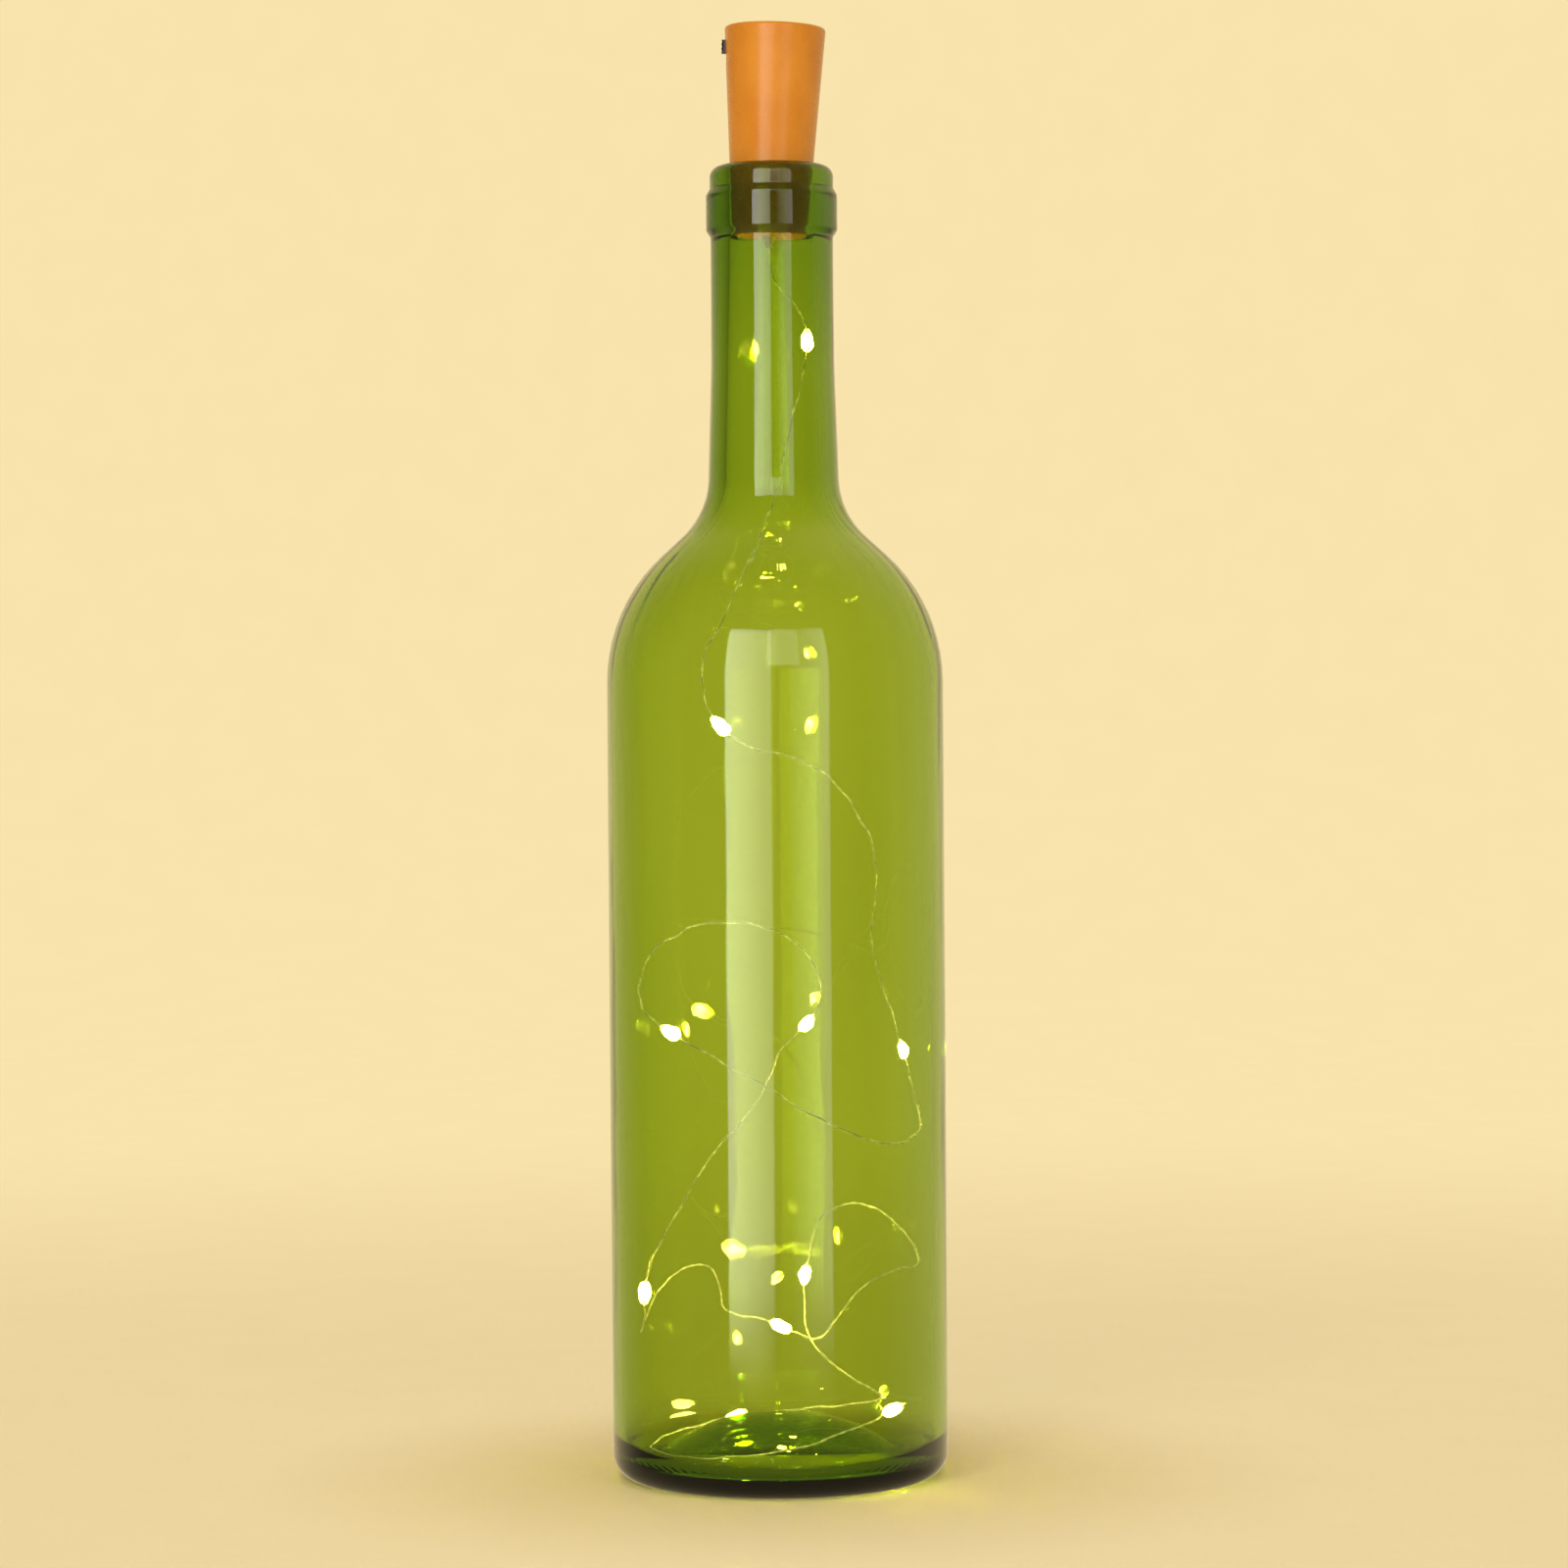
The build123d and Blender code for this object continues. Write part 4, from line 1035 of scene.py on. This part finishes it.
def paper():
    """Pale cream paper, lit by the lamps round the bottle and an even cream further off.

    What the glass mirrors is the room instead.
    """
    material, nodes, links, main = shader("paper")
    fibre = grain(nodes, links, scale=40.0, detail=6.0)
    cream = between(nodes, links, fibre, dark=[PAPER_FIBRE * part for part in PAPER], light=PAPER)
    links.new(cream, main.inputs["Base Color"])
    main.inputs["Roughness"].default_value = 0.9
    main.inputs["Specular IOR Level"].default_value = 0.1
    place = nodes.new("ShaderNodeNewGeometry")
    distance = nodes.new("ShaderNodeVectorMath")
    distance.operation = "LENGTH"
    links.new(place.outputs["Position"], distance.inputs[0])
    away = distance.outputs["Value"]
    far = ramp(nodes, links, away, GLOW_START, GLOW_FULL, PAPER_GLOW, 1.0, "SMOOTHSTEP")
    clear = ramp(nodes, links, away, SHADOW_START, SHADOW_END, 0.0, 1.0, "SMOOTHSTEP")
    share = calc(nodes, links, "MULTIPLY", far, clear)
    glow = nodes.new("ShaderNodeEmission")
    links.new(cream, glow.inputs["Color"])
    lit = nodes.new("ShaderNodeMixShader")
    links.new(calc(nodes, links, "MULTIPLY", share, shown_rays(nodes, links)), lit.inputs["Fac"])
    links.new(main.outputs["BSDF"], lit.inputs[1])
    links.new(glow.outputs["Emission"], lit.inputs[2])
    path = nodes.new("ShaderNodeLightPath")
    nothing = nodes.new("ShaderNodeBsdfTransparent")
    sheet = nodes.new("ShaderNodeMixShader")
    links.new(path.outputs["Glossy Depth"], sheet.inputs["Fac"])
    links.new(lit.outputs["Shader"], sheet.inputs[1])
    links.new(nothing.outputs["BSDF"], sheet.inputs[2])
    links.new(sheet.outputs["Shader"], nodes["Material Output"].inputs["Surface"])
    material.cycles.emission_sampling = "NONE"
    return material


def lamp_screen():
    """Clear, but the cream of the paper to whoever looks at the lamps straight through the glass."""
    material, nodes, links, _ = shader("lamp_screen")
    clear = nodes.new("ShaderNodeBsdfTransparent")
    cream = nodes.new("ShaderNodeEmission")
    cream.inputs["Color"].default_value = (*PAPER, 1.0)
    mix = nodes.new("ShaderNodeMixShader")
    links.new(straight_through(nodes, links), mix.inputs["Fac"])
    links.new(clear.outputs["BSDF"], mix.inputs[1])
    links.new(cream.outputs["Emission"], mix.inputs[2])
    links.new(mix.outputs["Shader"], nodes["Material Output"].inputs["Surface"])
    material.cycles.emission_sampling = "NONE"
    return material


def make_sheet(name, section, material):
    """A wide sheet along a section of (y, z) points."""
    points = [(hand * FLOOR_HALF_WIDTH, y, z) for y, z in section for hand in (-1, 1)]
    faces = [(2 * row, 2 * row + 1, 2 * row + 3, 2 * row + 2) for row in range(len(section) - 1)]
    return add_mesh(name, points, faces, material)


def make_stage():
    """A paper floor that sweeps up behind the bottle, and a screen before the lamps."""
    sweep = rounded([(FLOOR_FRONT, 0), (SWEEP_START, 0), (SWEEP_START, SWEEP_HEIGHT)], [SWEEP_RADIUS])
    floor = make_sheet("floor", sweep, paper())
    screen = make_sheet("screen", [(SCREEN_FRONT, LAMP_LOW), (SCREEN_FRONT, LAMP_HIGH)], lamp_screen())


def softbox(name, edges, low, strengths):
    """An upright panel lamp between two angles round from the camera's side, fading towards its edges."""
    left, right = edges
    light = bpy.data.lights.new(name, "AREA")
    light.shape = "RECTANGLE"
    light.size = 2 * LAMP_DISTANCE * tan((right - left) / 2)
    light.size_y = LAMP_HIGH - low
    light.color = LAMP_COLOUR
    light.energy = LAMP_POWER * light.size * light.size_y
    light.use_nodes = True
    nodes = light.node_tree.nodes
    links = light.node_tree.links
    place = nodes.new("ShaderNodeNewGeometry")
    across = nodes.new("ShaderNodeSeparateXYZ")
    links.new(place.outputs["Parametric"], across.inputs["Vector"])
    strength = ramp(nodes, links, across.outputs["X"], 0.0, 1.0, *strengths)
    for direction in ("X", "Y"):
        offset = calc(nodes, links, "SUBTRACT", across.outputs[direction], 0.5)
        from_middle = calc(nodes, links, "ABSOLUTE", offset)
        edge = ramp(nodes, links, from_middle, 0.5, 0.5 - LAMP_FEATHER, 0.0, 1.0, "SMOOTHSTEP")
        strength = calc(nodes, links, "MULTIPLY", strength, edge)
    links.new(strength, nodes["Emission"].inputs["Strength"])
    lamp = bpy.data.objects.new(name, light)
    bpy.context.scene.collection.objects.link(lamp)
    azimuth = (left + right) / 2
    away = Vector((sin(azimuth), -cos(azimuth), 0))
    lamp.location = away * LAMP_DISTANCE + Vector((0, 0, (low + LAMP_HIGH) / 2))
    lamp.rotation_euler = (-away).to_track_quat("-Z", "Y").to_euler()
    lamp.visible_camera = False


def make_lamps():
    """Soft light from in front: two tall panels with the camera's gap between them, and one above the gap."""
    softbox("left_softbox", LEFT_LAMP, LAMP_LOW, LEFT_STRENGTH)
    softbox("right_softbox", RIGHT_LAMP, LAMP_LOW, RIGHT_STRENGTH)
    softbox("middle_softbox", MIDDLE_LAMP, GAP_TOP, MIDDLE_STRENGTH)


def make_room():
    """The world: an even light, and what gloss and glass mirror of it, dimmer in front than behind."""
    world = bpy.data.worlds.new("studio")
    bpy.context.scene.world = world
    world.use_nodes = True
    nodes = world.node_tree.nodes
    links = world.node_tree.links
    room = nodes["Background"]
    room.inputs["Color"].default_value = (*AMBIENT, 1.0)
    seen = nodes.new("ShaderNodeBackground")
    seen.inputs["Color"].default_value = (*PAPER, 1.0)
    place = nodes.new("ShaderNodeTexCoord")
    turned = nodes.new("ShaderNodeVectorMath")
    turned.operation = "DOT_PRODUCT"
    turned.inputs[1].default_value = BRIGHT_SIDE
    links.new(place.outputs["Generated"], turned.inputs[0])
    towards = turned.outputs["Value"]
    behind = ramp(nodes, links, towards, DIM_TURN, BRIGHT_TURN, ROOM_SHARE, 1.0, "SMOOTHSTEP")
    direction = nodes.new("ShaderNodeSeparateXYZ")
    links.new(place.outputs["Generated"], direction.inputs["Vector"])
    above = ramp(nodes, links, direction.outputs["Z"], LOW_SLOPE, LEVEL_SLOPE, 0.0, 1.0, "SMOOTHSTEP")
    brighter = calc(nodes, links, "SUBTRACT", behind, LOW_SHARE)
    mirrored = calc(nodes, links, "MULTIPLY_ADD", brighter, above, LOW_SHARE)
    path = nodes.new("ShaderNodeLightPath")
    plain = calc(nodes, links, "MAXIMUM", path.outputs["Is Camera Ray"], straight_through(nodes, links))
    links.new(calc(nodes, links, "MAXIMUM", plain, mirrored), seen.inputs["Strength"])
    mix = nodes.new("ShaderNodeMixShader")
    links.new(shown_rays(nodes, links), mix.inputs["Fac"])
    links.new(room.outputs["Background"], mix.inputs[1])
    links.new(seen.outputs["Background"], mix.inputs[2])
    links.new(mix.outputs["Shader"], nodes["World Output"].inputs["Surface"])


def make_camera():
    """The photograph's view: from in front, a little above the middle and tilted slightly down."""
    data = bpy.data.cameras.new("camera")
    data.sensor_width = SENSOR_WIDTH
    data.lens = LENS
    camera = bpy.data.objects.new("camera", data)
    bpy.context.scene.collection.objects.link(camera)
    pixel = CAMERA_DISTANCE * SENSOR_WIDTH / LENS / IMAGE_SIDE
    camera.location = ((IMAGE_SIDE / 2 - AXIS_COLUMN) * pixel, -CAMERA_DISTANCE, CAMERA_HEIGHT)
    upright = Matrix.Rotation(radians(90) - CAMERA_TILT, 4, "X")
    camera.rotation_euler = (upright @ Matrix.Rotation(-CAMERA_ROLL, 4, "Z")).to_euler()
    bpy.context.scene.camera = camera


make_camera()
make_string()
make_bottle()
dress_stopper()
dress_chips()
make_stage()
make_lamps()
make_room()
scene = bpy.context.scene
scene.view_settings.view_transform = "Standard"
scene.cycles.max_bounces = 24
scene.cycles.transmission_bounces = 24
scene.cycles.glossy_bounces = 12
scene.cycles.sample_clamp_indirect = 40
